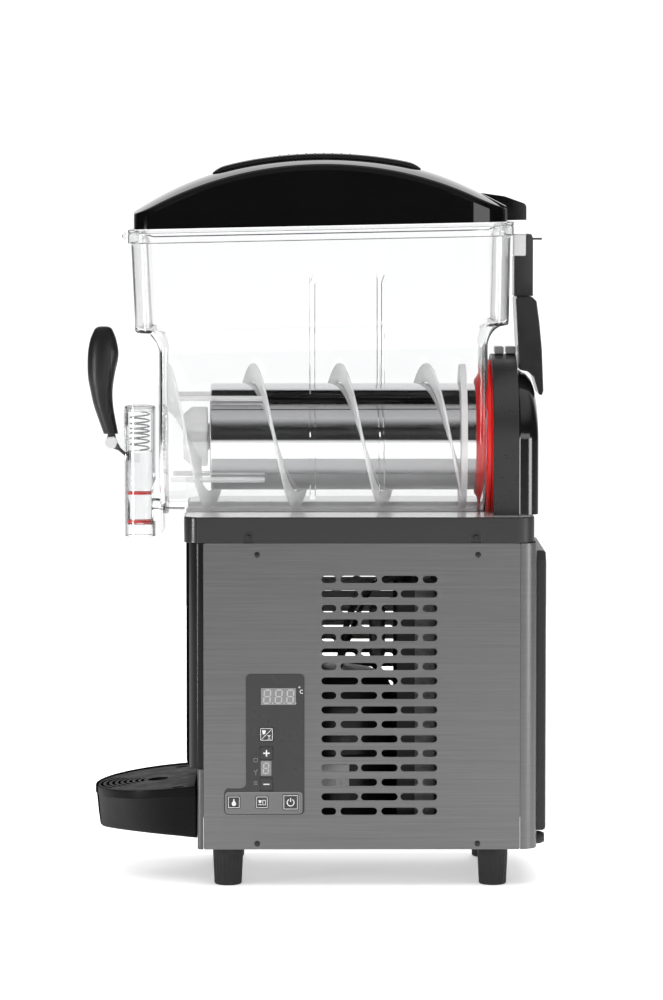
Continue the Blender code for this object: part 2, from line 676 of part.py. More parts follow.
def build_lid(mat, plate_mat, cap_mat, joint):
    wall, count = 2.6, 12
    lo, hi = LID_FRONT, LID_REAR
    bm = bmesh.new()
    add_loft(bm, [lid_section(lo + (hi - lo) * k / count, 0, LID_BOTTOM)
                  for k in range(count + 1)])
    origin = (0, 0, LID_BOTTOM)
    lid = make_object("lid", bm, mat, origin=origin, parent=joint)
    lo, hi = LID_FRONT + wall, LID_REAR - wall
    bm = bmesh.new()
    add_loft(bm, [lid_section(lo + (hi - lo) * k / count, wall, LID_BOTTOM - 5)
                  for k in range(count + 1)])
    combine(lid, make_tool("lid_cavity_cutter", bm), "DIFFERENCE")

    rings = []
    count, half, thick = 12, 36.0, 6.0
    lo, hi = -116.0, 120.0
    for k in range(count + 1):
        y = lo + (hi - lo) * k / count
        xs = [half * (1 - i / 2) for i in range(5)]
        low = [(x, y, lid_crown(x, y) + GAP) for x in xs]
        high = [(x, y, lid_crown(x, y) + thick) for x in reversed(xs)]
        rings.append(low + high)
    bm = bmesh.new()
    add_loft(bm, rings)
    make_object("lid_grip_strip", bm, plate_mat, origin=origin, parent=joint)

    top_front, back = 189.0, 243.0
    profile = [(y, lid_crown(0, y) + 0.4) for y in (189.0, 198.0, 207.0, LID_REAR + 0.4)]
    profile += [(LID_REAR + 0.4, 742.2), (back, 742.2)]
    profile += arc(back - 6, 759.6, 6, 0, 75, 3) + [(top_front, 777.4)]
    bm = bmesh.new()
    add_prism(bm, profile, "x", -29, 29)
    make_object("lid_lamp_cap", bm, cap_mat, origin=origin, parent=joint)


# ---------------------------------------------------------------- tap
def build_tap_body(clear_mat, cap_mat, bolt_mat, joint):
    bm = bmesh.new()
    add_lathe(bm, [(0, TAP_BOTTOM), (TAP_R, TAP_BOTTOM), (TAP_R, TAP_TOP), (0, TAP_TOP)],
              "z", 0, TAP_Y, TAP_SIDES)
    origin = (0, TAP_Y, TAP_BOTTOM)
    body = make_object("tap_body", bm, clear_mat, origin=origin, parent=joint)

    bm = bmesh.new()
    spout = [(-177.0, 463.0), (-191.0, 428.0), (-191.0, 402.0), (-177.0, 402.0)]
    add_prism(bm, spout, "x", -12, 12)
    for side in (-1, 1):
        lug = [(-215.8, 478.0)] + [(-215.8, 510.0)]
        lug += arc(PIVOT_Y, PIVOT_Z, 8.0, 60, 270, 9)
        hole = arc(PIVOT_Y, PIVOT_Z, 3.3, 0, 330, 11)
        add_prism(bm, lug, "x", side * 4.3, side * 7.3, [hole])
    combine(body, make_tool("tap_lugs_and_spout", bm), "UNION")
    bm = bmesh.new()
    add_prism(bm, rounded_rectangle(-24, 24, 393, 565, 6), "y", -178.7, -175.8)
    combine(body, make_tool("tap_flange", bm), "UNION")
    bm = bmesh.new()
    add_lathe(bm, [(0, TAP_BOTTOM - 5), (TAP_BORE_R, TAP_BOTTOM - 5),
                   (TAP_BORE_R, TAP_TOP + 5), (0, TAP_TOP + 5)], "z", 0, TAP_Y, TAP_SIDES)
    combine(body, make_tool("tap_bore_cutter", bm), "DIFFERENCE")
    bm = bmesh.new()
    add_lathe(bm, [(0, TAP_Y), (7, TAP_Y), (7, -170), (0, -170)], "y", 0, 421.6, 14)
    add_box(bm, -3.6, 3.6, -224, -208, 472, 498)
    combine(body, make_tool("tap_port_and_slot_cutter", bm), "DIFFERENCE")

    z = TAP_TOP + GAP
    profile = [(0, z - 4), (TAP_BORE_R - GAP, z - 4), (TAP_BORE_R - GAP, z), (TAP_R, z),
               (TAP_R, z + 2), (12, z + 3.6), (0, z + 4.2)]
    bm = bmesh.new()
    add_lathe(bm, profile, "z", 0, TAP_Y, 26)
    make_object("tap_cap", bm, cap_mat, origin=origin, parent=joint)

    def hexagon(x, radius):
        points = []
        for k in range(12):
            a = math.radians(30 * k)
            r = radius if k % 2 == 0 else radius * math.cos(math.radians(30))
            points.append((x, PIVOT_Y + r * math.cos(a), PIVOT_Z + r * math.sin(a)))
        return points

    def circle(x, radius):
        return [(x, u, v) for u, v in arc(PIVOT_Y, PIVOT_Z, radius, 0, 330, 11)]
    bm = bmesh.new()
    add_loft(bm, [hexagon(12.4, 6.6), hexagon(11.8, 7.6), hexagon(7.6, 7.6), circle(7.6, 3.0),
                  circle(-7.6, 3.0), hexagon(-7.6, 6.4), hexagon(-12.0, 6.4)])
    make_object("pivot_bolt", bm, bolt_mat, origin=(0, PIVOT_Y, PIVOT_Z), parent=joint)


def build_handle(handle_mat, lever_mat, joint):
    origin = (0, PIVOT_Y, PIVOT_Z)
    # (z, centre Y, half depth, half width), from the top of the grip to its foot
    sections = ((625.0, -241.5, 6.8, 6.0), (620.0, -241.6, 11.0, 9.5), (609.0, -241.8, 15.2, 12.0),
                (592.0, -242.0, 17.6, 13.5), (569.0, -244.2, 15.3, 13.0),
                (551.6, -243.9, 12.7, 11.5), (534.4, -241.7, 11.1, 10.5),
                (517.2, -237.4, 9.6, 9.5), (502.2, -233.3, 8.4, 8.5))
    rings = []
    for z, y, deep, wide in sections:
        rings.append([(u, v, z) for u, v in
                      arc(0, y, wide, 0, 337.5, 15, deep / wide)])
    bm = bmesh.new()
    add_loft(bm, rings)
    make_object("tap_handle", bm, handle_mat, origin=origin, parent=joint, smooth=60)

    reach = Vector((TIP_Y - PIVOT_Y, TIP_Z - PIVOT_Z))
    lean = math.degrees(math.atan2(reach.y, reach.x))
    along = reach.normalized()
    across = Vector((-along.y, along.x))
    neck = Vector((PIVOT_Y, PIVOT_Z)) + along * 12
    outline = [(PIVOT_Y + 4.0, 501.8), (PIVOT_Y - 4.5, 501.8)]
    outline += arc(PIVOT_Y, PIVOT_Z, 6.2, 150, 270, 6)
    outline += [tuple(neck - across * 1.8)]
    outline += arc(TIP_Y, TIP_Z, TIP_R, lean - 90, lean + 90, 5)
    outline += [tuple(neck + across * 1.8)]
    outline += arc(PIVOT_Y, PIVOT_Z, 6.2, lean + 50, 40, 4)
    bm = bmesh.new()
    add_prism(bm, outline, "x", -2.5, 2.5, [arc(PIVOT_Y, PIVOT_Z, 3.3, 0, 330, 11)])
    make_object("tap_lever", bm, lever_mat, origin=origin, parent=joint)


def build_plunger(clear_mat, ring_mat, spring_mat, plunger_joint, bowl_joint):
    groove_r, groove_half = 12.6, RING_HEIGHT / 2 + GAP
    profile = [(0, PLUNGER_BOTTOM), (PLUNGER_R - 1, PLUNGER_BOTTOM), (PLUNGER_R, PLUNGER_BOTTOM + 1)]
    for z in RING_Z:
        profile += [(PLUNGER_R, z - groove_half), (groove_r, z - groove_half),
                    (groove_r, z + groove_half), (PLUNGER_R, z + groove_half)]
    profile += [(PLUNGER_R, PLUNGER_TOP), (0, PLUNGER_TOP)]
    origin = (0, TAP_Y, PLUNGER_BOTTOM)
    bm = bmesh.new()
    add_lathe(bm, profile, "z", 0, TAP_Y, 26)
    plunger = make_object("tap_plunger", bm, clear_mat, origin=origin, parent=plunger_joint)
    bm = bmesh.new()
    add_box(bm, -3.2, 3.2, -220, -200.3, 470.6, 479.4)
    combine(plunger, make_tool("plunger_notch_cutter", bm), "DIFFERENCE")

    for name, z in zip(("valve_ring_lower", "valve_ring_upper"), RING_Z):
        inner, outer, half = groove_r + GAP, TAP_BORE_R - GAP, RING_HEIGHT / 2
        profile = [(inner, z + half), (outer - 0.4, z + half), (outer, z),
                   (outer - 0.4, z - half), (inner, z - half)]
        bm = bmesh.new()
        add_lathe(bm, profile, "z", 0, TAP_Y, 26, closed=True)
        make_object(name, bm, ring_mat, origin=origin, parent=plunger_joint)

    wire, coil_r, turns, per_turn = 0.9, 10.6, 6.5, 10
    low, high = PLUNGER_TOP + GAP + wire, TAP_TOP - 4 - wire
    curve = bpy.data.curves.new("tap_spring", "CURVE")
    curve.dimensions = "3D"
    curve.bevel_depth = wire * MM
    curve.bevel_resolution = 1
    curve.use_fill_caps = True
    count = round(turns * per_turn) + 1
    spline = curve.splines.new("POLY")
    spline.points.add(count - 1)
    for k in range(count):
        a = 2 * math.pi * k / per_turn
        x, y = coil_r * math.cos(a), coil_r * math.sin(a)
        z = (high - low) * k / (count - 1)
        spline.points[k].co = (x * MM, y * MM, z * MM, 1.0)
    curve.materials.append(spring_mat)
    spring = bpy.data.objects.new("tap_spring", curve)
    bpy.context.scene.collection.objects.link(spring)
    spring.parent = bowl_joint
    spring.location = Vector((0, TAP_Y, low)) * MM - bowl_joint.location


# ---------------------------------------------------------------- drip tray
def tray_plan(inset):
    half = TRAY_HALF - inset
    deep = TRAY_STRAIGHT_Y - TRAY_TIP - inset
    front = arc(0, TRAY_STRAIGHT_Y, half, 0, -180, 20, deep / half)
    rear = TRAY_REAR - inset
    return [(half - 2, rear), (half, rear - 2)] + front + [(-half, rear - 2), (2 - half, rear)]


def build_drip_tray(mat, grid_mat, joint, grid_joint):
    bm = bmesh.new()
    levels = ((TRAY_BOTTOM, 7.0), (TRAY_BOTTOM + 3, 5.2), (TRAY_TOP - 3, 0.4), (TRAY_TOP - 2.5, 0.0),
              (TRAY_TOP, 0.2), (TRAY_TOP, 2.2), (LEDGE_Z, 2.6), (LEDGE_Z, 6.0),
              (TRAY_BOTTOM + 3, 9.0))
    add_loft(bm, [plan_ring(tray_plan(inset), z) for z, inset in levels])
    make_object("drip_tray", bm, mat, origin=(0, TRAY_REAR, TRAY_BOTTOM), parent=joint)

    drain_y, slot_half = -180.0, 1.8
    holes = [arc(0, drain_y, 12.0, 0, 340, 17)]
    for k in range(8):
        radius = 18.5 + 6.6 * k
        holes.append(arc(0, drain_y, radius + slot_half, -128, -52, 4)
                     + arc(0, drain_y, radius - slot_half, -52, -128, 4))
    for side in (-1, 1):
        holes.append(arc(side * 80, -155.0, 5.0, 0, 330, 11, 1.5))
    bm = bmesh.new()
    z = LEDGE_Z + GAP
    add_prism(bm, tray_plan(3.2), "z", z, z + 3.5, holes)
    make_object("drip_grid", bm, grid_mat, origin=(0, TRAY_REAR, z), parent=grid_joint)


# ---------------------------------------------------------------- refrigeration
def build_compressor(mat, copper, drier_mat):
    base = CABINET_BOTTOM + 0.5 + 1.5 + GAP
    y, radius, top = COMPRESSOR_Y, COMPRESSOR_R, base + COMPRESSOR_HEIGHT
    profile = [(0, base), (radius - 6, base), (radius - 6, base + 6), (radius, base + 14),
               (radius, base + 86), (radius + 3, base + 88), (radius + 3, base + 94),
               (radius, base + 96), (radius, base + 138), (radius - 8, base + 160),
               (radius - 28, base + 175), (0, top)]
    bm = bmesh.new()
    add_lathe(bm, profile, "z", 0, y, 24)
    make_object("compressor", bm, mat, origin=(0, y, base))

    add_pipe("suction_pipe", [(30, y, top - 2), (36, y + 4, 272), (60, 50, 330), (66, 110, 352),
                              (66, 190, 362), (60, 224, 378), (60, 226, 440)],
             SUCTION_PIPE_R, copper)
    add_pipe("discharge_pipe", [(-30, y, top - 2), (-34, y + 12, 262), (-60, 62, 318),
                                (-70, 88, 340), (-72, 108, 338)], DISCHARGE_PIPE_R, copper)
    profile = [(0, 250), (4, 250), (9, 258), (9, 310), (4, 318), (0, 318)]
    bm = bmesh.new()
    add_lathe(bm, profile, "z", 80, 70, 16)
    make_object("filter_drier", bm, drier_mat, origin=(80, 70, 250))


def add_pipe(name, route, radius, mat):
    curve = bpy.data.curves.new(name, "CURVE")
    curve.dimensions = "3D"
    curve.bevel_depth = radius * MM
    curve.bevel_resolution = 1
    curve.use_fill_caps = True
    spline = curve.splines.new("NURBS")
    spline.points.add(len(route) - 1)
    for point, place in zip(spline.points, route):
        point.co = (place[0] * MM, place[1] * MM, place[2] * MM, 1.0)
    spline.use_endpoint_u = True
    spline.order_u = 3
    spline.resolution_u = 3
    curve.materials.append(mat)
    pipe = bpy.data.objects.new(name, curve)
    bpy.context.scene.collection.objects.link(pipe)


def build_condenser(mat):
    """Comb plan: fins stand along the airflow between two end plates."""
    y0, y1 = CONDENSER_FRONT, CONDENSER_REAR
    half, fins = 100.0, 13
    pitch = 2 * half / fins
    outline = [(-half, y1), (-half, y0)]
    for k in range(fins):
        left = -half + k * pitch
        outline += [(left + 3.0, y0)] if k == 0 else [(left, y0), (left + 3.0, y0)]
        outline += [(left + 3.0, y1 - 8), (left + pitch, y1 - 8)]
    outline[-2:] = [(half - pitch + 3.0, y1 - 8), (half - 3.0, y1 - 8), (half - 3.0, y0), (half, y0)]
    outline.append((half, y1))
    bm = bmesh.new()
    add_prism(bm, outline, "z", 46.5, 334)
    make_object("condenser", bm, mat)


def build_fan(blade_mat, shroud_mat, motor_mat, joint):
    bm = bmesh.new()
    add_prism(bm, rounded_rectangle(-102, 102, 46.5, 334, 4), "y", 144, 147,
              [arc(0, FAN_Z, FAN_R + 5, 0, 350, 35)])
    make_object("fan_shroud", bm, shroud_mat)

    bm = bmesh.new()
    add_lathe(bm, [(0, FAN_Y - 11), (20, FAN_Y - 11), (22, FAN_Y - 9), (22, FAN_Y + 11),
                   (0, FAN_Y + 11)], "y", 0, FAN_Z, 24)
    origin = (0, FAN_Y, FAN_Z)
    fan = make_object("fan", bm, blade_mat, origin=origin, parent=joint)
    bm = bmesh.new()
    for blade in range(5):
        rings = []
        for radius, wide, pitch in ((19.0, 20.0, 38.0), (50.0, 32.0, 28.0), (FAN_R, 38.0, 20.0)):
            ring = []
            mid = math.radians(72 * blade)
            for s, t in ((-1, -0.8), (1, -0.8), (1, 0.8), (-1, 0.8)):
                along = s * wide / 2 * math.cos(math.radians(pitch))
                depth = s * wide / 2 * math.sin(math.radians(pitch)) + t
                a = mid + along / radius
                ring.append((radius * math.cos(a), FAN_Y + depth, FAN_Z + radius * math.sin(a)))
            rings.append(ring)
        add_loft(bm, rings)
    combine(fan, make_tool("fan_blades", bm), "UNION")

    bm = bmesh.new()
    add_lathe(bm, [(0, FAN_Y + 12), (8, FAN_Y + 12), (8, FAN_Y + 18), (30, FAN_Y + 18),
                   (34, FAN_Y + 22), (34, FAN_Y + 52), (28, FAN_Y + 58), (0, FAN_Y + 58)],
              "y", 0, FAN_Z, 20)
    motor = make_object("fan_motor", bm, motor_mat)
    bm = bmesh.new()
    add_box(bm, -112, 112, FAN_Y + 30, FAN_Y + 33, FAN_Z - 9, FAN_Z + 9)
    combine(motor, make_tool("motor_strap", bm), "UNION")


def build_gland(mat):
    bm = bmesh.new()
    profile = [(3.4, REAR_Y - 10), (5.3, REAR_Y - 10), (5.3, REAR_Y + GAP), (7.6, REAR_Y + GAP),
               (7.2, REAR_Y + 5), (5.2, REAR_Y + 9.5), (3.4, REAR_Y + 9.5)]
    add_lathe(bm, profile, "y", GLAND_X, GLAND_Z, 16, closed=True)
    make_object("cable_gland", bm, mat, origin=(GLAND_X, REAR_Y, GLAND_Z))


# ---------------------------------------------------------------- assembly
def main():
    clear_scene()
    dark_steel = (0.13, 0.13, 0.135)
    black = (0.012, 0.012, 0.013)
    clear = (0.93, 0.95, 0.96)

    build_side_panels(make_material("side_panel_right", dark_steel, 0.35, 0.9),
                      make_material("side_panel_left", dark_steel, 0.35, 0.9))
    build_front(make_material("front_cover", black, 0.3),
                make_material("front_apron", (0.3, 0.3, 0.31), 0.35, 0.9))
    build_base_pan(make_material("base_pan", (0.35, 0.35, 0.36), 0.45, 0.9))
    build_rear(make_material("rear_panel", dark_steel, 0.35, 0.9),
               make_material("rear_duct_cover", black, 0.45))
    build_deck(make_material("deck", (0.07, 0.07, 0.073), 0.4))
    build_feet(make_material("feet", (0.02, 0.02, 0.02), 0.7))
    button_mats = {name: make_material(name, (0.03, 0.03, 0.035), 0.4) for name in BUTTONS}
    build_controls(make_material("control_panel", (0.035, 0.035, 0.04), 0.35),
                   make_material("displays", (0.2, 0.2, 0.21), 0.25),
                   make_material("control_board", (0.02, 0.12, 0.05), 0.5),
                   button_mats)
    build_drum(make_material("freezing_drum", (0.8, 0.8, 0.8), 0.08, 1.0),
               make_material("shaft_bush", (0.8, 0.8, 0.78), 0.5),
               make_material("bowl_gasket", (0.6, 0.01, 0.01), 0.45))
    build_rear_housing(make_material("rear_housing", black, 0.3),
                       make_material("gear_motor", (0.3, 0.3, 0.3), 0.5, 0.8),
                       make_material("rear_arm", black, 0.35),
                       make_material("lamp_contact", (0.8, 0.8, 0.8), 0.4),
                       make_material("bowl_rests", (0.6, 0.6, 0.6), 0.3))

    auger_joint = make_empty("auger_axis", (0, 0, AXIS_Z))
    build_auger(make_material("auger", (0.8, 0.81, 0.82), 0.4, 0.0, 0.5),
                make_material("drive_shaft", (0.6, 0.6, 0.6), 0.25, 1.0), auger_joint)

    bowl_joint = make_empty("bowl_slide", (0, 0, AXIS_Z))
    bpy.context.view_layer.update()
    build_bowl(make_material("bowl", clear, 0.05, 0.0, 0.95), bowl_joint)
    build_tap_body(make_material("tap_body", clear, 0.05, 0.0, 0.95),
                   make_material("tap_cap", clear, 0.05, 0.0, 0.95),
                   make_material("pivot_bolt", (0.7, 0.7, 0.7), 0.3, 1.0), bowl_joint)
    lid_joint = make_empty("lid_lift", (0, 0, LID_BOTTOM))
    build_lid(make_material("lid", black, 0.08), make_material("lid_grip_strip", black, 0.35),
              make_material("lid_lamp_cap", black, 0.12), lid_joint)
    handle_joint = make_empty("handle_pivot", (0, PIVOT_Y, PIVOT_Z))
    build_handle(make_material("tap_handle", black, 0.38),
                 make_material("tap_lever", (0.5, 0.5, 0.5), 0.3, 1.0), handle_joint)
    plunger_joint = make_empty("plunger_slide", (0, TAP_Y, PLUNGER_BOTTOM))
    build_plunger(make_material("tap_plunger", clear, 0.05, 0.0, 0.95),
                  make_material("valve_rings", (0.6, 0.01, 0.01), 0.4),
                  make_material("tap_spring", (0.6, 0.6, 0.6), 0.25, 1.0),
                  plunger_joint, bowl_joint)

    tray_joint = make_empty("tray_slide", (0, TRAY_REAR, TRAY_BOTTOM))
    grid_joint = make_empty("grid_lift", (0, TRAY_REAR, LEDGE_Z))
    build_drip_tray(make_material("drip_tray", black, 0.45),
                    make_material("drip_grid", black, 0.4), tray_joint, grid_joint)

    copper = make_material("copper", (0.7, 0.33, 0.18), 0.3, 1.0)
    build_compressor(make_material("compressor", (0.02, 0.02, 0.02), 0.45), copper,
                     make_material("filter_drier", (0.7, 0.35, 0.2), 0.35, 1.0))
    build_condenser(make_material("condenser", (0.4, 0.4, 0.41), 0.4, 0.9))
    fan_joint = make_empty("fan_axis", (0, FAN_Y, FAN_Z))
    build_fan(make_material("fan", (0.03, 0.03, 0.03), 0.5),
              make_material("fan_shroud", (0.25, 0.25, 0.26), 0.45, 0.8),
              make_material("fan_motor", (0.1, 0.1, 0.1), 0.5, 0.5), fan_joint)
    build_gland(make_material("cable_gland", (0.02, 0.02, 0.02), 0.6))


main()
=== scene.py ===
"""Slush machine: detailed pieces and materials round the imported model."""
import math

import bmesh
import bpy
from mathutils import Matrix, Vector
from mathutils.geometry import tessellate_polygon


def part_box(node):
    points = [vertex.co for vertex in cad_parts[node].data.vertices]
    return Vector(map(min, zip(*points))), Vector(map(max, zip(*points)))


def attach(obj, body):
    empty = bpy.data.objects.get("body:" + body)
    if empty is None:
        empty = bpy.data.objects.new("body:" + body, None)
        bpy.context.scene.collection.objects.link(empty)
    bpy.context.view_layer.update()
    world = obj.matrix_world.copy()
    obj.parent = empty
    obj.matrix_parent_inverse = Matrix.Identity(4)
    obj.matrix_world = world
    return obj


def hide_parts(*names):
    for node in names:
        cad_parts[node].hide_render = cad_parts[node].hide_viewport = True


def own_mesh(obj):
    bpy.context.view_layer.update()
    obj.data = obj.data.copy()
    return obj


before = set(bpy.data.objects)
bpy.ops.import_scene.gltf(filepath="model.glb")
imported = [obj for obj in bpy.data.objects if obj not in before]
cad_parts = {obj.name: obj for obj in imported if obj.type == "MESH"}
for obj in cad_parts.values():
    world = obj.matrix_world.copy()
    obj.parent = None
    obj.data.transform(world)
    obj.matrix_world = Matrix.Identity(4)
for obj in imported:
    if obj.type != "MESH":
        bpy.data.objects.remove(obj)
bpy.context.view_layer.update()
SCENE = bpy.context.scene
MM = 0.001

# Camera and floor, in metres and degrees
CAMERA_PLACE = (4.7336, -0.016, 0.8011)
CAMERA_YAW, CAMERA_PITCH, CAMERA_ROLL = 0.424, 3.011, 0.021
CAMERA_LENS, CAMERA_SHIFT_Y = 149.19, -0.11
FLOOR_HALF = 2.9

# Sizes in millimetres, the same as the CAD's
GAP = 0.3
HALF_W, PANEL_T = 120.0, 1.2
PANEL_FRONT, PANEL_REAR = -125.0, 229.5
CABINET_BOTTOM, CABINET_TOP = 42.5, 386.7
FRONT_FLAT_HALF, FRONT_EDGE_Y, FRONT_BOW = 98.0, -142.0, 5.0
FRONT_COVER_BOTTOM = 133.3
REAR_Y, REAR_CORNER_R = 249.0, 19.0
DECK_BOTTOM, DECK_TOP = 387.0, 416.0
DECK_FRONT, DECK_REAR = -147.0, 246.0
CHANNEL_HALF, CHANNEL_FLOOR, CHANNEL_END = 52.0, 409.3, 204.2
PANEL_SCREW_Y, PANEL_SCREW_Z = (-65.0, 182.0), (374.0, 49.0)
DECK_SCREW_Y, DECK_SCREW_Z = (-74.0, 180.0), 394.0
GLAND_X, GLAND_Z, GLAND_R = 88.0, 51.2, 5.7
FOOT_X, FOOT_Y = 95.0, (-98.0, 200.0)
FOOT_HEIGHT, FOOT_R_TOP, FOOT_R_BOTTOM = 42.2, 17.0, 15.5
SLOT_ROWS, SLOT_PITCH, SLOT_TOP_Z = 17, 16.3, 346.4
SLOT_HEIGHT, SLOT_SHORT, SLOT_LONG = 8.2, 16.6, 41.2
VENT_Y0, VENT_Y1 = 7.0, 136.7
BUTTONS = {
    "button_mode": (-54.5, 172.5, 7.4),
    "button_plus": (-54.5, 151.3, 7.0),
    "button_minus": (-54.5, 116.3, 7.0),
    "button_lamp": (-91.0, 96.0, 6.8),
    "button_drink": (-59.6, 96.0, 6.8),
    "button_power": (-27.5, 96.0, 8.4),
}
TEMPERATURE_WINDOW = (-60.7, -21.5, 205.5, 224.6)
LEVEL_WINDOW = (-61.0, -49.0, 125.9, 142.7)
FILM_X = (120.3, 121.3)
KEY_X = 121.6
AXIS_Z = 499.0
HOUSING_FRONT, HOUSING_HALF, HOUSING_TOP, FLANGE_BACK = 204.0, 95.0, 594.0, 229.0
ARM_BASE_Z = 660.0
DRUM_R, DRUM_FRONT, DRUM_REAR = 61.0, -119.0, 203.6
AUGER_R, AUGER_BORE_R = 84.0, 62.8
AUGER_FRONT, AUGER_REAR = -167.0, 168.0
AUGER_PITCH, AUGER_CREST_Y, BLADE_T = 99.0, 29.0, 4.0
HUB_R, HUB_FRONT, HUB_REAR = 34.0, -150.0, -122.6
SHAFT_R = 6.0
TROUGH_R, BOWL_WALL = 89.0, 3.0
BOWL_FRONT, BOWL_REAR = -175.5, 194.0
SHOULDER_Z, SHOULDER_R = 599.0, 23.0
NECK_HALF, NECK_FRONT, NECK_REAR = 94.0, -202.5, 218.0
RIM_BOTTOM, RIM_TOP = 725.0, 741.0
RIM_HALF, RIM_FRONT, RIM_REAR = 100.5, -210.5, 223.5
BOWL_MOUTH_R = 85.3
LID_FRONT, LID_REAR, LID_HALF = -204.0, 217.0, 97.0
LID_BOTTOM, LID_ARC_R, LID_CREST_Z, LID_CREST_Y, LID_CROWN = 741.3, 415.0, 811.0, 6.0, 6.0
TAP_Y, TAP_R, TAP_BORE_R = -200.0, 17.8, 15.3
TAP_BOTTOM, TAP_TOP = 385.0, 531.7
PORT_R, PORT_Z = 7.0, 421.6    # the opening from the bowl into the tap
PIVOT_Y, PIVOT_Z, PIVOT_BORE_R = -232.4, 492.6, 3.3
TIP_Y, TIP_Z, TIP_R = -211.0, 473.5, 1.7
PLUNGER_R, PLUNGER_BOTTOM, PLUNGER_TOP = 14.6, 398.0, 482.6
RING_Z, RING_HEIGHT, GROOVE_R = (402.0, 434.5), 2.6, 12.6
TRAY_REAR, TRAY_STRAIGHT_Y, TRAY_HALF, TRAY_TIP = -133.0, -158.0, 100.0, -251.5
TRAY_BOTTOM, TRAY_TOP, LEDGE_Z = 51.0, 108.0, 102.5
TRAY_DRAW = 0.65
LOUVRES, LOUVRE_PITCH = 11, 24.0
COMPRESSOR_R = 66.0


# ---------------------------------------------------------------- node helpers
def spread(nt, value, low, high, start=0.3, end=0.7, smooth=False):
    """value's stretch from start to end, laid over low to high."""
    node = nt.nodes.new("ShaderNodeMapRange")
    if smooth:
        node.interpolation_type = "SMOOTHSTEP"
    node.inputs["From Min"].default_value = start
    node.inputs["From Max"].default_value = end
    node.inputs["To Min"].default_value = low
    node.inputs["To Max"].default_value = high
    nt.links.new(value, node.inputs["Value"])
    return node.outputs["Result"]


def maths(nt, operation, *values):
    node = nt.nodes.new("ShaderNodeMath")
    node.operation = operation
    for socket, value in zip(node.inputs, values):
        if isinstance(value, bpy.types.NodeSocket):
            nt.links.new(value, socket)
        else:
            socket.default_value = value
    return node.outputs[0]


# ---------------------------------------------------------------- camera, light, floor
def place_camera():
    """Looking along -X, a little down, at the side with the control panel."""
    data = bpy.data.cameras.new("camera")
    data.lens = CAMERA_LENS
    data.shift_y = CAMERA_SHIFT_Y
    data.clip_end = 60.0
    cam = bpy.data.objects.new("camera", data)
    SCENE.collection.objects.link(cam)
    yaw, pitch, roll = (math.radians(a) for a in (CAMERA_YAW, CAMERA_PITCH, CAMERA_ROLL))
    ahead = Vector((-math.cos(yaw) * math.cos(pitch), math.sin(yaw) * math.cos(pitch),
                    -math.sin(pitch)))
    right = ahead.cross(Vector((0, 0, 1))).normalized()
    up = right.cross(ahead)
    right, up = (right * math.cos(roll) + up * math.sin(roll),
                 up * math.cos(roll) - right * math.sin(roll))
    axes = Matrix((right, up, -ahead)).transposed().to_4x4()
    cam.matrix_world = Matrix.Translation(CAMERA_PLACE) @ axes
    SCENE.camera = cam


def area_light(name, place, target, width, height, power, mirrored=True):
    """A soft rectangle of light; one that isn't mirrored lights surfaces without showing in them."""
    data = bpy.data.lights.new(name, "AREA")
    data.shape = "RECTANGLE"
    data.size, data.size_y = width, height
    data.energy = power
    lamp = bpy.data.objects.new(name, data)
    SCENE.collection.objects.link(lamp)
    lamp.location = place
    lamp.rotation_euler = (Vector(target) - Vector(place)).to_track_quat("-Z", "Y").to_euler()
    if not mirrored:
        lamp.visible_camera = False
        lamp.visible_glossy = False
        lamp.visible_transmission = False


def build_world():
    """Reflections see a dark room with a white wall behind the machine, a pale floor and ceiling.

    Everything seen directly, or through clear plastic, has plain white behind it.
    """
    SCENE.view_settings.view_transform = "Standard"
    world = bpy.data.worlds.new("studio")
    SCENE.world = world
    world.use_nodes = True
    nt = world.node_tree
    nt.nodes.clear()
    ways = nt.nodes.new("ShaderNodeSeparateXYZ")
    nt.links.new(nt.nodes.new("ShaderNodeTexCoord").outputs["Generated"], ways.inputs[0])
    wall = spread(nt, ways.outputs["X"], 1.0, 0.02, -0.66, -0.42, smooth=True)
    flank = spread(nt, maths(nt, "ABSOLUTE", ways.outputs["Y"]), 1.0, 0.12, 0.4, 0.75, smooth=True)
    ceiling = spread(nt, ways.outputs["Z"], 0.0, 0.62, 0.4, 0.75, smooth=True)
    ground = spread(nt, ways.outputs["Z"], 0.0, 0.9, -0.06, -0.11)
    ends = maths(nt, "MAXIMUM", ground, ceiling)
    room = nt.nodes.new("ShaderNodeBackground")
    nt.links.new(maths(nt, "MAXIMUM", maths(nt, "MULTIPLY", wall, flank), ends),
                 room.inputs["Color"])
    plain = nt.nodes.new("ShaderNodeBackground")
    plain.inputs["Color"].default_value = (1, 1, 1, 1)
    plain.inputs["Strength"].default_value = 1.16

    path = nt.nodes.new("ShaderNodeLightPath")
    turns = maths(nt, "ADD", path.outputs["Glossy Depth"], path.outputs["Diffuse Depth"])
    mix = nt.nodes.new("ShaderNodeMixShader")
    nt.links.new(maths(nt, "LESS_THAN", turns, 0.5), mix.inputs["Fac"])
    nt.links.new(room.outputs[0], mix.inputs[1])
    nt.links.new(plain.outputs[0], mix.inputs[2])
    out = nt.nodes.new("ShaderNodeOutputWorld")
    nt.links.new(mix.outputs[0], out.inputs["Surface"])


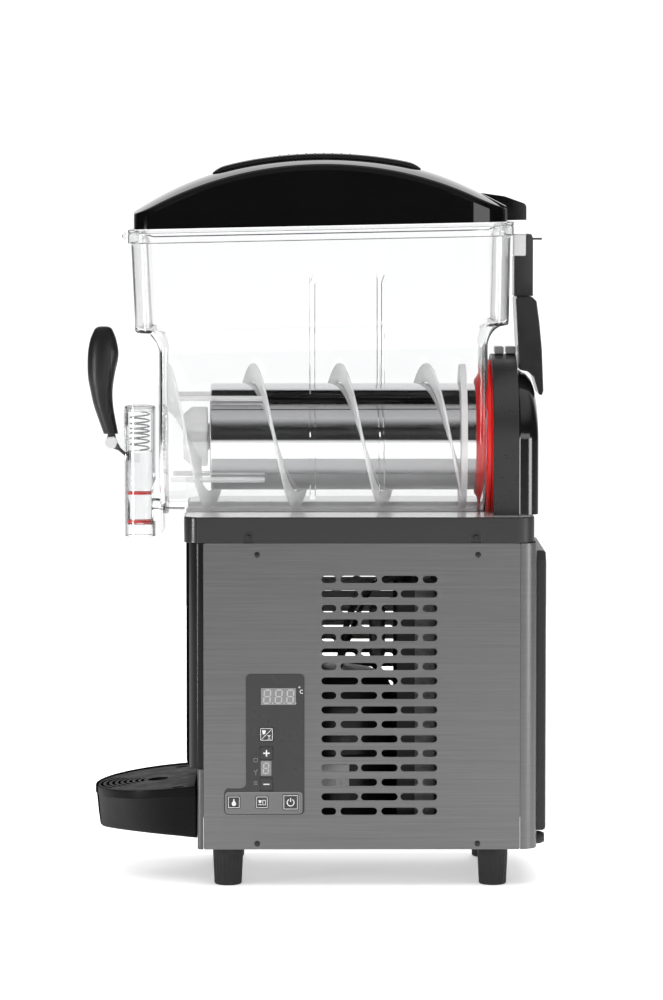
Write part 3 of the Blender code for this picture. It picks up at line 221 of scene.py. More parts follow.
def build_lights():
    area_light("top_softbox", (0.6, 0.0, 3.2), (0, 0, 0.3), 3.2, 3.2, 75.0, False)
    area_light("camera_fill", (4.6, -1.0, 2.6), (0, 0, 0.4), 1.6, 1.2, 30.0, False)
    area_light("back_softbox", (-3.2, 0.4, 1.6), (0, 0, 0.4), 2.6, 2.2, 60.0, False)
    area_light("front_softbox", (2.0, -3.0, 0.36), (0, 0, 0.36), 0.9, 0.66, 15.0)
    area_light("rear_softbox", (1.8, 3.2, 0.32), (0, 0, 0.32), 0.9, 0.6, 15.0)
    area_light("rear_key", (2.35, 1.5, 0.8), (0, 0, 0.8), 2.6, 0.42, 9.0)
    area_light("front_strip", (0.74, -1.16, 0.3), (0.11, -0.13, 0.3), 0.04, 0.56, 2.5)


def build_floor():
    bm = bmesh.new()
    bmesh.ops.create_grid(bm, x_segments=8, y_segments=8, size=FLOOR_HALF)
    mesh = bpy.data.meshes.new("floor")
    bm.to_mesh(mesh)
    bm.free()
    floor = bpy.data.objects.new("floor", mesh)
    SCENE.collection.objects.link(floor)
    mat = bpy.data.materials.new("floor_paper")
    mat.use_nodes = True
    shader = mat.node_tree.nodes["Principled BSDF"]
    shader.inputs["Base Color"].default_value = (0.93, 0.93, 0.93, 1)
    shader.inputs["Roughness"].default_value = 0.85
    shader.inputs["Specular IOR Level"].default_value = 0.2
    shader.inputs["Emission Color"].default_value = (1, 1, 1, 1)
    shader.inputs["Emission Strength"].default_value = 0.4
    mesh.materials.append(mat)


# ---------------------------------------------------------------- materials
def new_material(name):
    mat = bpy.data.materials.new(name)
    mat.use_nodes = True
    nt = mat.node_tree
    return mat, nt, nt.nodes["Principled BSDF"]


def noise(nt, coords, scale, detail=3.0, rough=0.55, stretch=(1, 1, 1)):
    mapping = nt.nodes.new("ShaderNodeMapping")
    mapping.inputs["Scale"].default_value = stretch
    nt.links.new(coords, mapping.inputs["Vector"])
    tex = nt.nodes.new("ShaderNodeTexNoise")
    tex.inputs["Scale"].default_value = scale
    tex.inputs["Detail"].default_value = detail
    tex.inputs["Roughness"].default_value = rough
    nt.links.new(mapping.outputs[0], tex.inputs["Vector"])
    return tex.outputs["Fac"]


def blend_colours(nt, fac, one, two):
    """Colour one where fac is 0 and two where it is 1; each may be a socket or a value."""
    node = nt.nodes.new("ShaderNodeMix")
    node.data_type = "RGBA"
    for key, value in (("Factor", fac), ("A", one), ("B", two)):
        socket = [s for s in node.inputs if s.name == key
                  and (key == "Factor" and s.type == "VALUE" or s.type == "RGBA")][0]
        if isinstance(value, bpy.types.NodeSocket):
            nt.links.new(value, socket)
        elif key == "Factor":
            socket.default_value = value
        else:
            socket.default_value = (*value, 1.0)
    return [s for s in node.outputs if s.type == "RGBA"][0]


def shade(colour, factor):
    return tuple(min(1.0, c * factor) for c in colour)


def add_bump(nt, shader, height, distance, strength=1.0, below=None):
    bump = nt.nodes.new("ShaderNodeBump")
    bump.inputs["Distance"].default_value = distance
    bump.inputs["Strength"].default_value = strength
    nt.links.new(height, bump.inputs["Height"])
    if below:
        nt.links.new(below, bump.inputs["Normal"])
    nt.links.new(bump.outputs[0], shader.inputs["Normal"])
    return bump.outputs[0]


def plastic(name, colour, roughness, mottle=0.08, grain=1400.0, depth=0.00002, wear=0.0,
            specular=0.5, coat=0.0, waves=0.0, dim=False):
    """Moulded or painted skin: cloudy tone, grained sheen, soft bump and paler worn edges.

    With dim the sheen fades where the skin turns away from the eye.
    """
    mat, nt, shader = new_material(name)
    coords = nt.nodes.new("ShaderNodeTexCoord").outputs["Object"]
    cloud = noise(nt, coords, 16.0, 4.0)
    fine = noise(nt, coords, grain, 2.0)
    tone = blend_colours(nt, spread(nt, cloud, 0, 1), shade(colour, 1 - mottle),
                         shade(colour, 1 + mottle))
    speck = blend_colours(nt, spread(nt, fine, 0, 0.35, 0.45, 0.75), tone,
                          shade(colour, 1 + 2.5 * mottle))
    if wear:
        rounded = nt.nodes.new("ShaderNodeBevel")
        rounded.samples = 4
        rounded.inputs["Radius"].default_value = 0.0007
        geometry = nt.nodes.new("ShaderNodeNewGeometry")
        turn = nt.nodes.new("ShaderNodeVectorMath")
        turn.operation = "DOT_PRODUCT"
        nt.links.new(rounded.outputs[0], turn.inputs[0])
        nt.links.new(geometry.outputs["Normal"], turn.inputs[1])
        edge = spread(nt, turn.outputs["Value"], wear, 0.0, 0.8, 0.985)
        speck = blend_colours(nt, edge, speck, tuple(0.6 * c + 0.16 for c in colour))
    nt.links.new(speck, shader.inputs["Base Color"])
    smear = noise(nt, coords, 55.0, 5.0, 0.65)
    nt.links.new(spread(nt, smear, roughness * 0.85, roughness * 1.2), shader.inputs["Roughness"])
    shader.inputs["Specular IOR Level"].default_value = specular
    if dim:
        turned = nt.nodes.new("ShaderNodeLayerWeight")
        nt.links.new(spread(nt, turned.outputs["Facing"], specular, 0.0, 0.5, 0.8),
                     shader.inputs["Specular IOR Level"])
    shader.inputs["Coat Weight"].default_value = coat
    shader.inputs["Coat Roughness"].default_value = 0.04
    below = None
    if waves:
        below = add_bump(nt, shader, noise(nt, coords, 9.0, 1.0), waves)
    add_bump(nt, shader, fine, depth, 0.6, below)
    return mat


def brushed(name, colour, roughness, stretch, depth=0.00003, metallic=1.0, contrast=0.1):
    """Brushed sheet: streaks along the axis whose stretch is small."""
    mat, nt, shader = new_material(name)
    coords = nt.nodes.new("ShaderNodeTexCoord").outputs["Object"]
    fine = noise(nt, coords, 1.0, 3.0, 0.7, tuple(2200.0 * s for s in stretch))
    broad = noise(nt, coords, 1.0, 2.0, 0.6, tuple(520.0 * s for s in stretch))
    cloud = noise(nt, coords, 3.0, 3.0)
    streak = blend_colours(nt, spread(nt, maths(nt, "ADD", fine, broad), 0, 1, 0.7, 1.3),
                           shade(colour, 1 - contrast), shade(colour, 1 + contrast))
    tone = blend_colours(nt, spread(nt, cloud, 0.0, 0.5), streak, shade(colour, 1.06))
    nt.links.new(tone, shader.inputs["Base Color"])
    nt.links.new(spread(nt, fine, roughness * 0.85, roughness * 1.2), shader.inputs["Roughness"])
    shader.inputs["Metallic"].default_value = metallic
    add_bump(nt, shader, fine, depth, 0.5)
    return mat


def metal(name, colour, roughness, mottle=0.08, scale=40.0, depth=0.00001, grain=900.0):
    """Plain metal with a cloudy tone and sheen."""
    mat, nt, shader = new_material(name)
    coords = nt.nodes.new("ShaderNodeTexCoord").outputs["Object"]
    cloud = noise(nt, coords, scale, 5.0, 0.6)
    tone = blend_colours(nt, spread(nt, cloud, 0, 1), shade(colour, 1 - mottle),
                         shade(colour, 1 + mottle))
    nt.links.new(tone, shader.inputs["Base Color"])
    nt.links.new(spread(nt, cloud, roughness * 0.8, roughness * 1.25), shader.inputs["Roughness"])
    shader.inputs["Metallic"].default_value = 1.0
    add_bump(nt, shader, noise(nt, coords, grain, 2.0), depth, 0.5)
    return mat


def clear(name, colour, roughness, ior, shadow, ripple, rim=0.8):
    """Clear moulded plastic, with painted shade that darkens its colour toward its outline.

    Light passes it on straight lines, so it throws a pale shadow.
    """
    mat, nt, shader = new_material(name)
    coords = nt.nodes.new("ShaderNodeTexCoord").outputs["Object"]
    cloud = noise(nt, coords, 11.0, 3.0)
    tone = blend_colours(nt, spread(nt, cloud, 0, 1), shade(colour, 0.985), colour)
    # Painted shade: rim darkens the colour where the surface turns away from the eye, for the dark
    # edge lines of clear plastic.
    facing = nt.nodes.new("ShaderNodeLayerWeight").outputs["Facing"]
    tone = blend_colours(nt, maths(nt, "POWER", facing, 3.2), tone, shade(colour, 1 - rim))
    nt.links.new(tone, shader.inputs["Base Color"])
    nt.links.new(spread(nt, noise(nt, coords, 120.0, 3.0), roughness * 0.6, roughness * 1.5),
                 shader.inputs["Roughness"])
    shader.inputs["Transmission Weight"].default_value = 1.0
    shader.inputs["IOR"].default_value = ior
    add_bump(nt, shader, noise(nt, coords, 14.0, 1.0), ripple, 0.35)
    through = nt.nodes.new("ShaderNodeBsdfTransparent")
    through.inputs["Color"].default_value = (shadow, shadow, shadow, 1)
    path = nt.nodes.new("ShaderNodeLightPath")
    mix = nt.nodes.new("ShaderNodeMixShader")
    nt.links.new(path.outputs["Is Shadow Ray"], mix.inputs["Fac"])
    nt.links.new(shader.outputs[0], mix.inputs[1])
    nt.links.new(through.outputs[0], mix.inputs[2])
    nt.links.new(mix.outputs[0], nt.nodes["Material Output"].inputs["Surface"])
    return mat


def milky(name, colour, roughness, see_through):
    """Translucent white plastic: part of the light goes straight through."""
    mat = plastic(name, colour, roughness, 0.03, 700.0, 0.00002)
    nt = mat.node_tree
    shader = nt.nodes["Principled BSDF"]
    shader.inputs["Subsurface Weight"].default_value = 0.5
    shader.inputs["Subsurface Radius"].default_value = (0.02, 0.02, 0.02)
    through = nt.nodes.new("ShaderNodeBsdfTransparent")
    mix = nt.nodes.new("ShaderNodeMixShader")
    mix.inputs["Fac"].default_value = see_through
    nt.links.new(shader.outputs[0], mix.inputs[1])
    nt.links.new(through.outputs[0], mix.inputs[2])
    nt.links.new(mix.outputs[0], nt.nodes["Material Output"].inputs["Surface"])
    return mat


def grey(value):
    """Linear grey from an sRGB level of 0 to 255."""
    v = value / 255.0
    lin = v / 12.92 if v <= 0.04045 else ((v + 0.055) / 1.055) ** 2.4
    return (lin, lin, lin)


# ---------------------------------------------------------------- mesh building
def arc(cu, cv, radius, start, end, steps, squash=1.0):
    points = []
    for k in range(steps + 1):
        a = math.radians(start + (end - start) * k / steps)
        points.append((cu + radius * math.cos(a), cv + radius * squash * math.sin(a)))
    return points


def rectangle(u0, u1, v0, v1):
    return [(u0, v0), (u1, v0), (u1, v1), (u0, v1)]


def rounded_rectangle(u0, u1, v0, v1, radius, steps=8):
    r = radius
    return (arc(u1 - r, v0 + r, r, -90, 0, steps) + arc(u1 - r, v1 - r, r, 0, 90, steps)
            + arc(u0 + r, v1 - r, r, 90, 180, steps) + arc(u0 + r, v0 + r, r, 180, 270, steps))


def to_space(axis, u, v, w):
    if axis == "x":
        return (w, u, v)
    if axis == "y":
        return (u, w, v)
    return (u, v, w)


def add_prism(bm, outline, axis, lo, hi, holes=()):
    loops = [list(outline)] + [list(hole) for hole in holes]
    rings = []
    for loop in loops:
        low = [bm.verts.new(to_space(axis, u, v, lo)) for u, v in loop]
        high = [bm.verts.new(to_space(axis, u, v, hi)) for u, v in loop]
        rings.append((low, high))
        for k in range(len(loop)):
            n = (k + 1) % len(loop)
            bm.faces.new((low[k], low[n], high[n], high[k]))
    if len(loops) == 1:
        bm.faces.new(rings[0][0])
        bm.faces.new(rings[0][1])
        return
    flat = [[Vector((u, v, 0.0)) for u, v in loop] for loop in loops]
    lows = [v for low, _ in rings for v in low]
    highs = [v for _, high in rings for v in high]
    for tri in tessellate_polygon(flat):
        bm.faces.new([lows[i] for i in tri])
        bm.faces.new([highs[i] for i in tri])


def add_box(bm, x0, x1, y0, y1, z0, z1):
    add_prism(bm, rectangle(x0, x1, y0, y1), "z", z0, z1)


def add_lathe(bm, profile, axis, cu, cv, steps=64, closed=False, flute=None):
    """Turn (radius, height) points; flute(angle, height) may change the radius."""
    rings = []
    for radius, height in profile:
        if radius < 1e-6:
            rings.append([bm.verts.new(to_space(axis, cu, cv, height))])
            continue
        ring = []
        for k in range(steps):
            a = 2 * math.pi * k / steps
            r = radius + (flute(a, height) if flute else 0.0)
            ring.append(bm.verts.new(to_space(axis, cu + r * math.cos(a), cv + r * math.sin(a),
                                              height)))
        rings.append(ring)
    pairs = list(zip(rings, rings[1:]))
    if closed:
        pairs.append((rings[-1], rings[0]))
    for one, two in pairs:
        for k in range(steps):
            n = (k + 1) % steps
            if len(one) == 1:
                bm.faces.new((one[0], two[n], two[k]))
            elif len(two) == 1:
                bm.faces.new((one[k], one[n], two[0]))
            else:
                bm.faces.new((one[k], one[n], two[n], two[k]))


def add_loft(bm, rings):
    rows = [[bm.verts.new(point) for point in ring] for ring in rings]
    for one, two in zip(rows, rows[1:]):
        for k in range(len(one)):
            n = (k + 1) % len(one)
            bm.faces.new((one[k], one[n], two[n], two[k]))
    bm.faces.new(rows[0])
    bm.faces.new(rows[-1])


def prism(outline, axis, lo, hi, holes=()):
    bm = bmesh.new()
    add_prism(bm, outline, axis, lo, hi, holes)
    return bm


def lathe(profile, axis, cu, cv, steps=64, closed=False, flute=None):
    bm = bmesh.new()
    add_lathe(bm, profile, axis, cu, cv, steps, closed, flute)
    return bm


def loft(rings):
    bm = bmesh.new()
    add_loft(bm, rings)
    return bm


def add_rod(bm, radius, lo, hi, axis, cu, cv, steps):
    add_lathe(bm, [(0, lo), (radius, lo), (radius, hi), (0, hi)], axis, cu, cv, steps)


def rod(radius, lo, hi, axis, cu, cv, steps):
    bm = bmesh.new()
    add_rod(bm, radius, lo, hi, axis, cu, cv, steps)
    return bm


def plan_ring(outline, z):
    return [(u, v, z) for u, v in outline]


def outward(bm):
    bmesh.ops.recalc_face_normals(bm, faces=bm.faces)
    if bm.calc_volume(signed=True) < 0:
        bmesh.ops.reverse_faces(bm, faces=bm.faces)


def joined(bm, tools):
    """bm after each (tool, operation), worked out in millimetres."""
    def as_object(name, source):
        outward(source)
        mesh = bpy.data.meshes.new(name)
        source.to_mesh(mesh)
        source.free()
        obj = bpy.data.objects.new(name, mesh)
        SCENE.collection.objects.link(obj)
        return obj
    base = as_object("base", bm)
    cutters = []
    for tool, operation in tools:
        cutter = as_object("cutter", tool)
        cutters.append(cutter)
        mod = base.modifiers.new("join", "BOOLEAN")
        mod.operation = operation
        mod.solver = "EXACT"
        mod.object = cutter
    depsgraph = bpy.context.evaluated_depsgraph_get()
    mesh = bpy.data.meshes.new_from_object(base.evaluated_get(depsgraph))
    result = bmesh.new()
    result.from_mesh(mesh)
    for obj in [base] + cutters:
        data = obj.data
        bpy.data.objects.remove(obj)
        bpy.data.meshes.remove(data)
    bpy.data.meshes.remove(mesh)
    return result


def piece(name, bm, mat, body, nodes=(), smooth=35.0, bevel=0.0, segments=2,
          limit=35.0):
    """A piece made in millimetres that rides on a CAD body and may stand for CAD nodes."""
    outward(bm)
    for vert in bm.verts:
        vert.co *= MM
    mesh = bpy.data.meshes.new(name)
    bm.to_mesh(mesh)
    bm.free()
    mesh.shade_smooth()
    mesh.set_sharp_from_angle(angle=math.radians(smooth))
    obj = bpy.data.objects.new(name, mesh)
    SCENE.collection.objects.link(obj)
    if mat:
        mesh.materials.append(mat)
    if bevel:
        mod = obj.modifiers.new("edge", "BEVEL")
        mod.width = bevel * MM
        mod.segments = segments
        mod.limit_method = "ANGLE"
        mod.angle_limit = math.radians(limit)
        mod.use_clamp_overlap = True
    mod = obj.modifiers.new("normals", "WEIGHTED_NORMAL")
    mod.keep_sharp = True
    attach(obj, body)
    if nodes:
        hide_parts(*nodes)
    return obj


def finish_node(node, mat):
    """A carried-over CAD node with its own detailed material."""
    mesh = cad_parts[node].data
    if not mesh.materials:
        mesh.materials.append(mat)
    for k in range(len(mesh.materials)):
        mesh.materials[k] = mat


def tube(name, points, radius, mat, body, nodes=(), sides=16):
    """A round bar swept along points, in millimetres."""
    path = [Vector(p) for p in points]
    bm = bmesh.new()
    rings = []
    across = Vector((0.31, 0.2, 0.93))
    for k, here in enumerate(path):
        ahead = (path[min(k + 1, len(path) - 1)] - path[max(k - 1, 0)]).normalized()
        u = (across - ahead * across.dot(ahead)).normalized()
        v = ahead.cross(u)
        across = u
        rings.append([here + (u * math.cos(a) + v * math.sin(a)) * radius
                      for a in (2 * math.pi * i / sides for i in range(sides))])
    add_loft(bm, rings)
    return piece(name, bm, mat, body, nodes, 60)


def round_corners(points, radii, steps=6):
    out = []
    count = len(points)
    for k, radius in enumerate(radii):
        here = Vector(points[k])
        to_prev = (Vector(points[k - 1]) - here).normalized()
        to_next = (Vector(points[(k + 1) % count]) - here).normalized()
        half = to_prev.angle(to_next) / 2
        centre = here + (to_prev + to_next).normalized() * radius / math.sin(half)
        first = here + to_prev * radius / math.tan(half) - centre
        last = here + to_next * radius / math.tan(half) - centre
        for s in range(steps + 1):
            spoke = first.lerp(last, s / steps).normalized() * radius
            out.append(tuple(centre + spoke))
    return out


# ---------------------------------------------------------------- cabinet
def vent_slots():
    slots = []
    r = SLOT_HEIGHT / 2
    for row in range(SLOT_ROWS):
        lengths = [SLOT_LONG] * 3
        if row % 2 == 0:
            lengths = [SLOT_SHORT, SLOT_LONG, SLOT_LONG, SLOT_SHORT]
        free = (VENT_Y1 - VENT_Y0 - sum(lengths)) / (len(lengths) - 1)
        y, z = VENT_Y0, SLOT_TOP_Z - row * SLOT_PITCH
        for length in lengths:
            slots.append(arc(y + length - r, z, r, -90, 90, 8) + arc(y + r, z, r, 90, 270, 8))
            y += length + free
    return slots


def film_outline(inset=0.0):
    d = inset
    corners = [(-102 + d, 82 + d), (-12 - d, 82 + d), (-12 - d, 240 - d),
               (-77.5 + d, 240 - d), (-77.5 + d, 111 - d), (-102 + d, 111 - d)]
    return round_corners(corners, [5, 5, 5, 5, 6, 5], 6)


def build_side_panels():
    mat = brushed("panel_brushed", grey(120), 0.36, (0.6, 0.012, 1.0), contrast=0.16)
    outline = rounded_rectangle(PANEL_FRONT, PANEL_REAR, CABINET_BOTTOM, CABINET_TOP, 2.0, 4)
    openings = {"right": vent_slots() + [film_outline(3.0)], "left": vent_slots()}
    for side, x in (("right", HALF_W - PANEL_T), ("left", -HALF_W)):
        bm = prism(outline, "x", x, x + PANEL_T, openings[side])
        node = "side_panel_" + side
        piece(node + "_sheet", bm, mat, "cabinet", [node], bevel=0.3)


def bow_outline(flat_half, edge_y, bow, corner_y, half):
    """A front that bows forward by bow between two rounded corners."""
    points = [(half, corner_y)]
    for k in range(1, 14):
        a = math.radians(90 * k / 14)
        points.append((flat_half + (half - flat_half) * math.cos(a),
                       corner_y + (edge_y - corner_y) * math.sin(a)))
    corner = list(points)
    for k in range(33):
        x = flat_half * (1 - k / 16)
        points.append((x, edge_y - bow * (1 - (x / flat_half) ** 2)))
    return points + [(-x, y) for x, y in reversed(corner)]


def build_front():
    black = plastic("cover_gloss_black", grey(12), 0.1, 0.1, 900.0, 0.000004, wear=0.1,
                    specular=0.2, dim=True)
    seam = PANEL_FRONT - GAP
    wall = 2.5
    outer = bow_outline(FRONT_FLAT_HALF, FRONT_EDGE_Y, FRONT_BOW, seam, HALF_W)
    inner = bow_outline(FRONT_FLAT_HALF - 1, FRONT_EDGE_Y + wall, FRONT_BOW, seam, HALF_W - wall)
    bm = prism(outer + inner[::-1], "z", FRONT_COVER_BOTTOM, CABINET_TOP)
    piece("front_cover_shell", bm, black, "cabinet", ["front_cover"], bevel=0.5)


def build_apron():
    """The folded sheet below the front cover."""
    steel = brushed("apron_brushed", grey(94), 0.34, (0.03, 0.03, 1.0))
    seam = PANEL_FRONT - GAP
    front, wall, r = -132.0, 1.5, 5.0
    channel = [(HALF_W, seam)] + arc(HALF_W - r, front + r, r, 0, -90, 8)
    channel += arc(r - HALF_W, front + r, r, 270, 180, 8) + [(-HALF_W, seam)]
    channel += [(wall - HALF_W, seam), (wall - HALF_W, front + wall)]
    channel += [(HALF_W - wall, front + wall), (HALF_W - wall, seam)]
    bm = prism(channel, "z", CABINET_BOTTOM, FRONT_COVER_BOTTOM - GAP)
    piece("front_apron_sheet", bm, steel, "cabinet", ["front_apron"], bevel=0.4)


def build_rear_panel():
    y0, r, wall = PANEL_REAR + GAP, REAR_CORNER_R, 1.5
    ri = r - wall
    outline = [(HALF_W, y0)] + arc(HALF_W - r, REAR_Y - r, r, 0, 90, 16)
    outline += arc(r - HALF_W, REAR_Y - r, r, 90, 180, 16) + [(-HALF_W, y0)]
    inside = [(HALF_W - wall, y0)] + arc(HALF_W - r, REAR_Y - r, ri, 0, 90, 16)
    inside += arc(r - HALF_W, REAR_Y - r, ri, 90, 180, 16) + [(wall - HALF_W, y0)]
    bm = prism(outline + inside[::-1], "z", CABINET_BOTTOM, CABINET_TOP)
    window = prism(rounded_rectangle(-84, 84, 78, 352, 8), "y", REAR_Y - 6, REAR_Y + 6)
    gland = rod(GLAND_R, REAR_Y - 6, REAR_Y + 6, "y", GLAND_X, GLAND_Z, 32)
    bm = joined(bm, [(window, "DIFFERENCE"), (gland, "DIFFERENCE")])
    mat = brushed("rear_brushed", grey(112), 0.36, (0.012, 0.012, 1.0))
    piece("rear_panel_sheet", bm, mat, "cabinet", ["rear_panel"], bevel=0.3)


def build_rear_duct():
    """A hollow cover with louvres over the fan."""
    front, back, wall = REAR_Y + GAP, 260.0, 1.6

    def ring(y, inset, chamfer):
        half, z0, z1 = 96 - inset, 60 + inset, 376 - inset
        corners = [(-half, z0), (half, z0), (half, z1 - chamfer), (half - chamfer, z1),
                   (chamfer - half, z1), (-half, z1 - chamfer)]
        return [(u, y, v) for u, v in round_corners(corners, [2, 2, 2, 2, 2, 2], 4)]
    bm = loft([ring(front, 0, 9), ring(back - 4, 0, 9), ring(back - 1.2, 1.0, 9),
               ring(back, 3.2, 9)])
    hollow = loft([ring(front - 2, wall, 8), ring(back - 4 - wall, wall, 8),
                   ring(back - wall, 4 + wall, 8)])
    louvres = bmesh.new()
    for k in range(LOUVRES):
        z = 92 + k * LOUVRE_PITCH
        add_prism(louvres, rounded_rectangle(-78, 78, z, z + 10, 4.8), "y", back - 4, back + 4)
    bm = joined(bm, [(hollow, "DIFFERENCE"), (louvres, "DIFFERENCE")])
    black = plastic("duct_black", grey(22), 0.36, 0.12, 1100.0, 0.00003, wear=0.2)
    piece("rear_duct_shell", bm, black, "cabinet", ["rear_duct_cover"],
          bevel=0.4)


def build_deck():
    def plan(inset):
        half = HALF_W - inset
        return rounded_rectangle(-half, half, DECK_FRONT + inset, DECK_REAR - inset,
                                 20.0 - inset, 12)
    bm = loft([plan_ring(plan(4.0), DECK_TOP - 12), plan_ring(plan(4.0), DECK_BOTTOM),
               plan_ring(plan(0.0), DECK_BOTTOM), plan_ring(plan(0.0), DECK_TOP - 1.6),
               plan_ring(plan(0.45), DECK_TOP - 0.55), plan_ring(plan(1.5), DECK_TOP)])
    recess = bmesh.new()
    add_box(recess, -CHANNEL_HALF, CHANNEL_HALF, DECK_FRONT - 5, CHANNEL_END, CHANNEL_FLOOR,
            DECK_TOP + 5)
    for side in (-1, 1):
        for y in DECK_SCREW_Y:
            notch = [(y - 5.5, 384.0), (y + 5.5, 384.0)] + arc(y, 395.5, 5.5, 0, 180, 14)
            add_prism(recess, notch, "x", side * (HALF_W - 2), side * (HALF_W + 4))
    for x in (-60, 60):
        add_rod(recess, 9, 380, 425, "z", x, 226, 32)
    bm = joined(bm, [(recess, "DIFFERENCE")])
    colour_deck(piece("deck_body", bm, deck_side(), "cabinet", ["deck"], bevel=0.35))


def deck_side():
    return brushed("deck_satin", grey(65), 0.4, (0.02, 0.01, 1.0), 0.00002, 0.75, 0.05)


def deck_end():
    return plastic("deck_end_black", grey(20), 0.22, 0.1, 1000.0, 0.00001, wear=0.15)


def deck_top():
    return brushed("deck_top_satin", grey(228), 0.18, (0.02, 0.01, 1.0), 0.000006, 0.7, 0.03)


def channel_lining():
    return plastic("channel_satin", grey(238), 0.35, 0.05, 900.0, 0.00001)


def colour_deck(deck):
    """A black front end, a bright top and a pale channel; the sides keep the first material."""
    for mat in (deck_end(), deck_top(), channel_lining()):
        deck.data.materials.append(mat)
    for face in deck.data.polygons:
        x, y, z = face.center / MM
        in_channel = abs(x) < CHANNEL_HALF + 0.3 and y > -131.0
        if in_channel and CHANNEL_FLOOR - 0.3 < z < DECK_TOP - 0.2:
            face.material_index = 3
        elif face.normal.z > 0.9:
            face.material_index = 2
        elif y < -132.5 and abs(face.normal.z) < 0.7:
            face.material_index = 1


def foot_flute(a, z):
    """22 shallow flutes round the leg, none on its foot or its collar."""
    if z < 2.0 or z > FOOT_HEIGHT - 8:
        return 0.0
    return -0.55 * (0.5 - 0.5 * math.cos(22 * a)) ** 2


def build_feet():
    rubber = plastic("foot_rubber", grey(34), 0.62, 0.15, 1600.0, 0.00004, wear=0.15, specular=0.3)
    names = ("foot_front_left", "foot_front_right", "foot_rear_left", "foot_rear_right")
    places = [(side * FOOT_X, y) for y in FOOT_Y for side in (-1, 1)]
    low, top, high = FOOT_R_BOTTOM, FOOT_R_TOP, FOOT_HEIGHT
    profile = [(0, 0), (low - 2, 0), (low - 0.7, 0.5), (low, 1.8)]
    profile += [(low + (top - low) * k / 5, 2.2 + 31.5 * k / 5) for k in range(6)]
    profile += [(top, high - 7.5), (top, high - 0.6), (top - 0.6, high), (0, high)]
    for name, (x, y) in zip(names, places):
        bm = lathe(profile, "z", x, y, 132, flute=foot_flute)
        piece(name + "_rubber", bm, rubber, "cabinet", [name], smooth=40)


def plus_outline(arm, half):
    """A cross whose four arms reach out to arm and are half wide either side of the middle."""
    return [(-half, -arm), (half, -arm), (half, -half), (arm, -half), (arm, half), (half, half),
            (half, arm), (-half, arm), (-half, half), (-arm, half), (-arm, -half), (-half, -half)]


def build_screw(name, side, y, z, base, radius, turn, mat):
    """A domed head with a cross recess, turned by some angle, on a surface at X = base."""
    heights = ((0, 1.5), (radius * 0.45, 1.45), (radius * 0.75, 1.2), (radius * 0.93, 0.75),
               (radius, 0.2), (radius, 0.02), (0, 0.02))
    bm = lathe([(r, side * (base + h)) for r, h in heights], "x", y, z, 28)
    turned = [(y + u * math.cos(turn) - v * math.sin(turn),
               z + u * math.sin(turn) + v * math.cos(turn))
              for u, v in plus_outline(radius * 0.62, 0.45)]
    cross = prism(turned, "x", side * (base + 0.5), side * (base + 3))
    piece(name, joined(bm, [(cross, "DIFFERENCE")]), mat, "cabinet")


def build_screws():
    steel = metal("screw_black_zinc", grey(70), 0.35, 0.2, 300.0)
    spots = [("panel", s, y, z, HALF_W, 3.3)
             for s in (-1, 1) for y in PANEL_SCREW_Y for z in PANEL_SCREW_Z]
    spots += [("deck", s, y, DECK_SCREW_Z, HALF_W - 2.0, 2.7)
              for s in (-1, 1) for y in DECK_SCREW_Y]
    for k, (kind, side, y, z, base, radius) in enumerate(spots):
        turn = math.radians(17 + 31 * k)
        build_screw(f"screw_{kind}_{k:02d}", side, y, z, base, radius, turn, steel)


# ---------------------------------------------------------------- controls
# Printed layers, from X to X
FILM_INK = (FILM_X[1] + 0.01, FILM_X[1] + 0.1)
STRIP_X = (FILM_X[1] + 0.01, FILM_X[1] + 0.12)
STRIP_INK = (FILM_X[1] + 0.13, FILM_X[1] + 0.2)
KEY_INK = (KEY_X + 0.01, KEY_X + 0.08)


def add_mark(bm, outline, span=KEY_INK, holes=()):
    add_prism(bm, outline, "x", *span, holes)


def add_bar(bm, a, b, width, span=KEY_INK):
    """A straight stroke between two (Y, Z) points."""
    a, b = Vector(a), Vector(b)
    along = (b - a).normalized() * width / 2
    across = Vector((-along.y, along.x))
    add_mark(bm, [tuple(a - along - across), tuple(b + along - across),
                  tuple(b + along + across), tuple(a - along + across)], span)


def square(y, z, half, radius=0.8):
    return rounded_rectangle(y - half, y + half, z - half, z + half, radius, 4)


def add_square_frame(bm, y, z, half, width, span=KEY_INK):
    add_mark(bm, square(y, z, half), span, [square(y, z, half - width, 0.4)])


def add_digit(bm, y, z, wide, high, stroke):
    """An eight with all seven strokes, leaning slightly."""
    def lean(u, v):
        return (y + u + 0.08 * v, z + v)
    w, h, t = wide / 2, high / 2, stroke / 2
    gap = stroke * 0.28
    bars = [((-w + t, h), (w - t, h)), ((-w + t, 0), (w - t, 0)), ((-w + t, -h), (w - t, -h)),
            ((-w, t), (-w, h - t)), ((w, t), (w, h - t)), ((-w, -h + t), (-w, -t)),
            ((w, -h + t), (w, -t))]
    for start, end in bars:
        a, b = Vector(start), Vector(end)
        along = (b - a).normalized()
        across = Vector((-along.y, along.x)) * t
        a, b = a + along * gap, b - along * gap
        outline = [a - along * t, a - across, b - across, b + along * t, b + across, a + across]
        add_mark(bm, [lean(p.x, p.y) for p in outline], FILM_INK)


def build_film(film, key_holes, windows):
    holes = list(key_holes.values())
    for a, b, c, d in windows.values():
        holes.append(rounded_rectangle(a - GAP, b + GAP, c - GAP, d + GAP, 0.5, 3))
    bm = prism(film_outline(), "x", *FILM_X, holes)
    piece("control_film", bm, film, "cabinet", ["control_panel"], bevel=0.15)


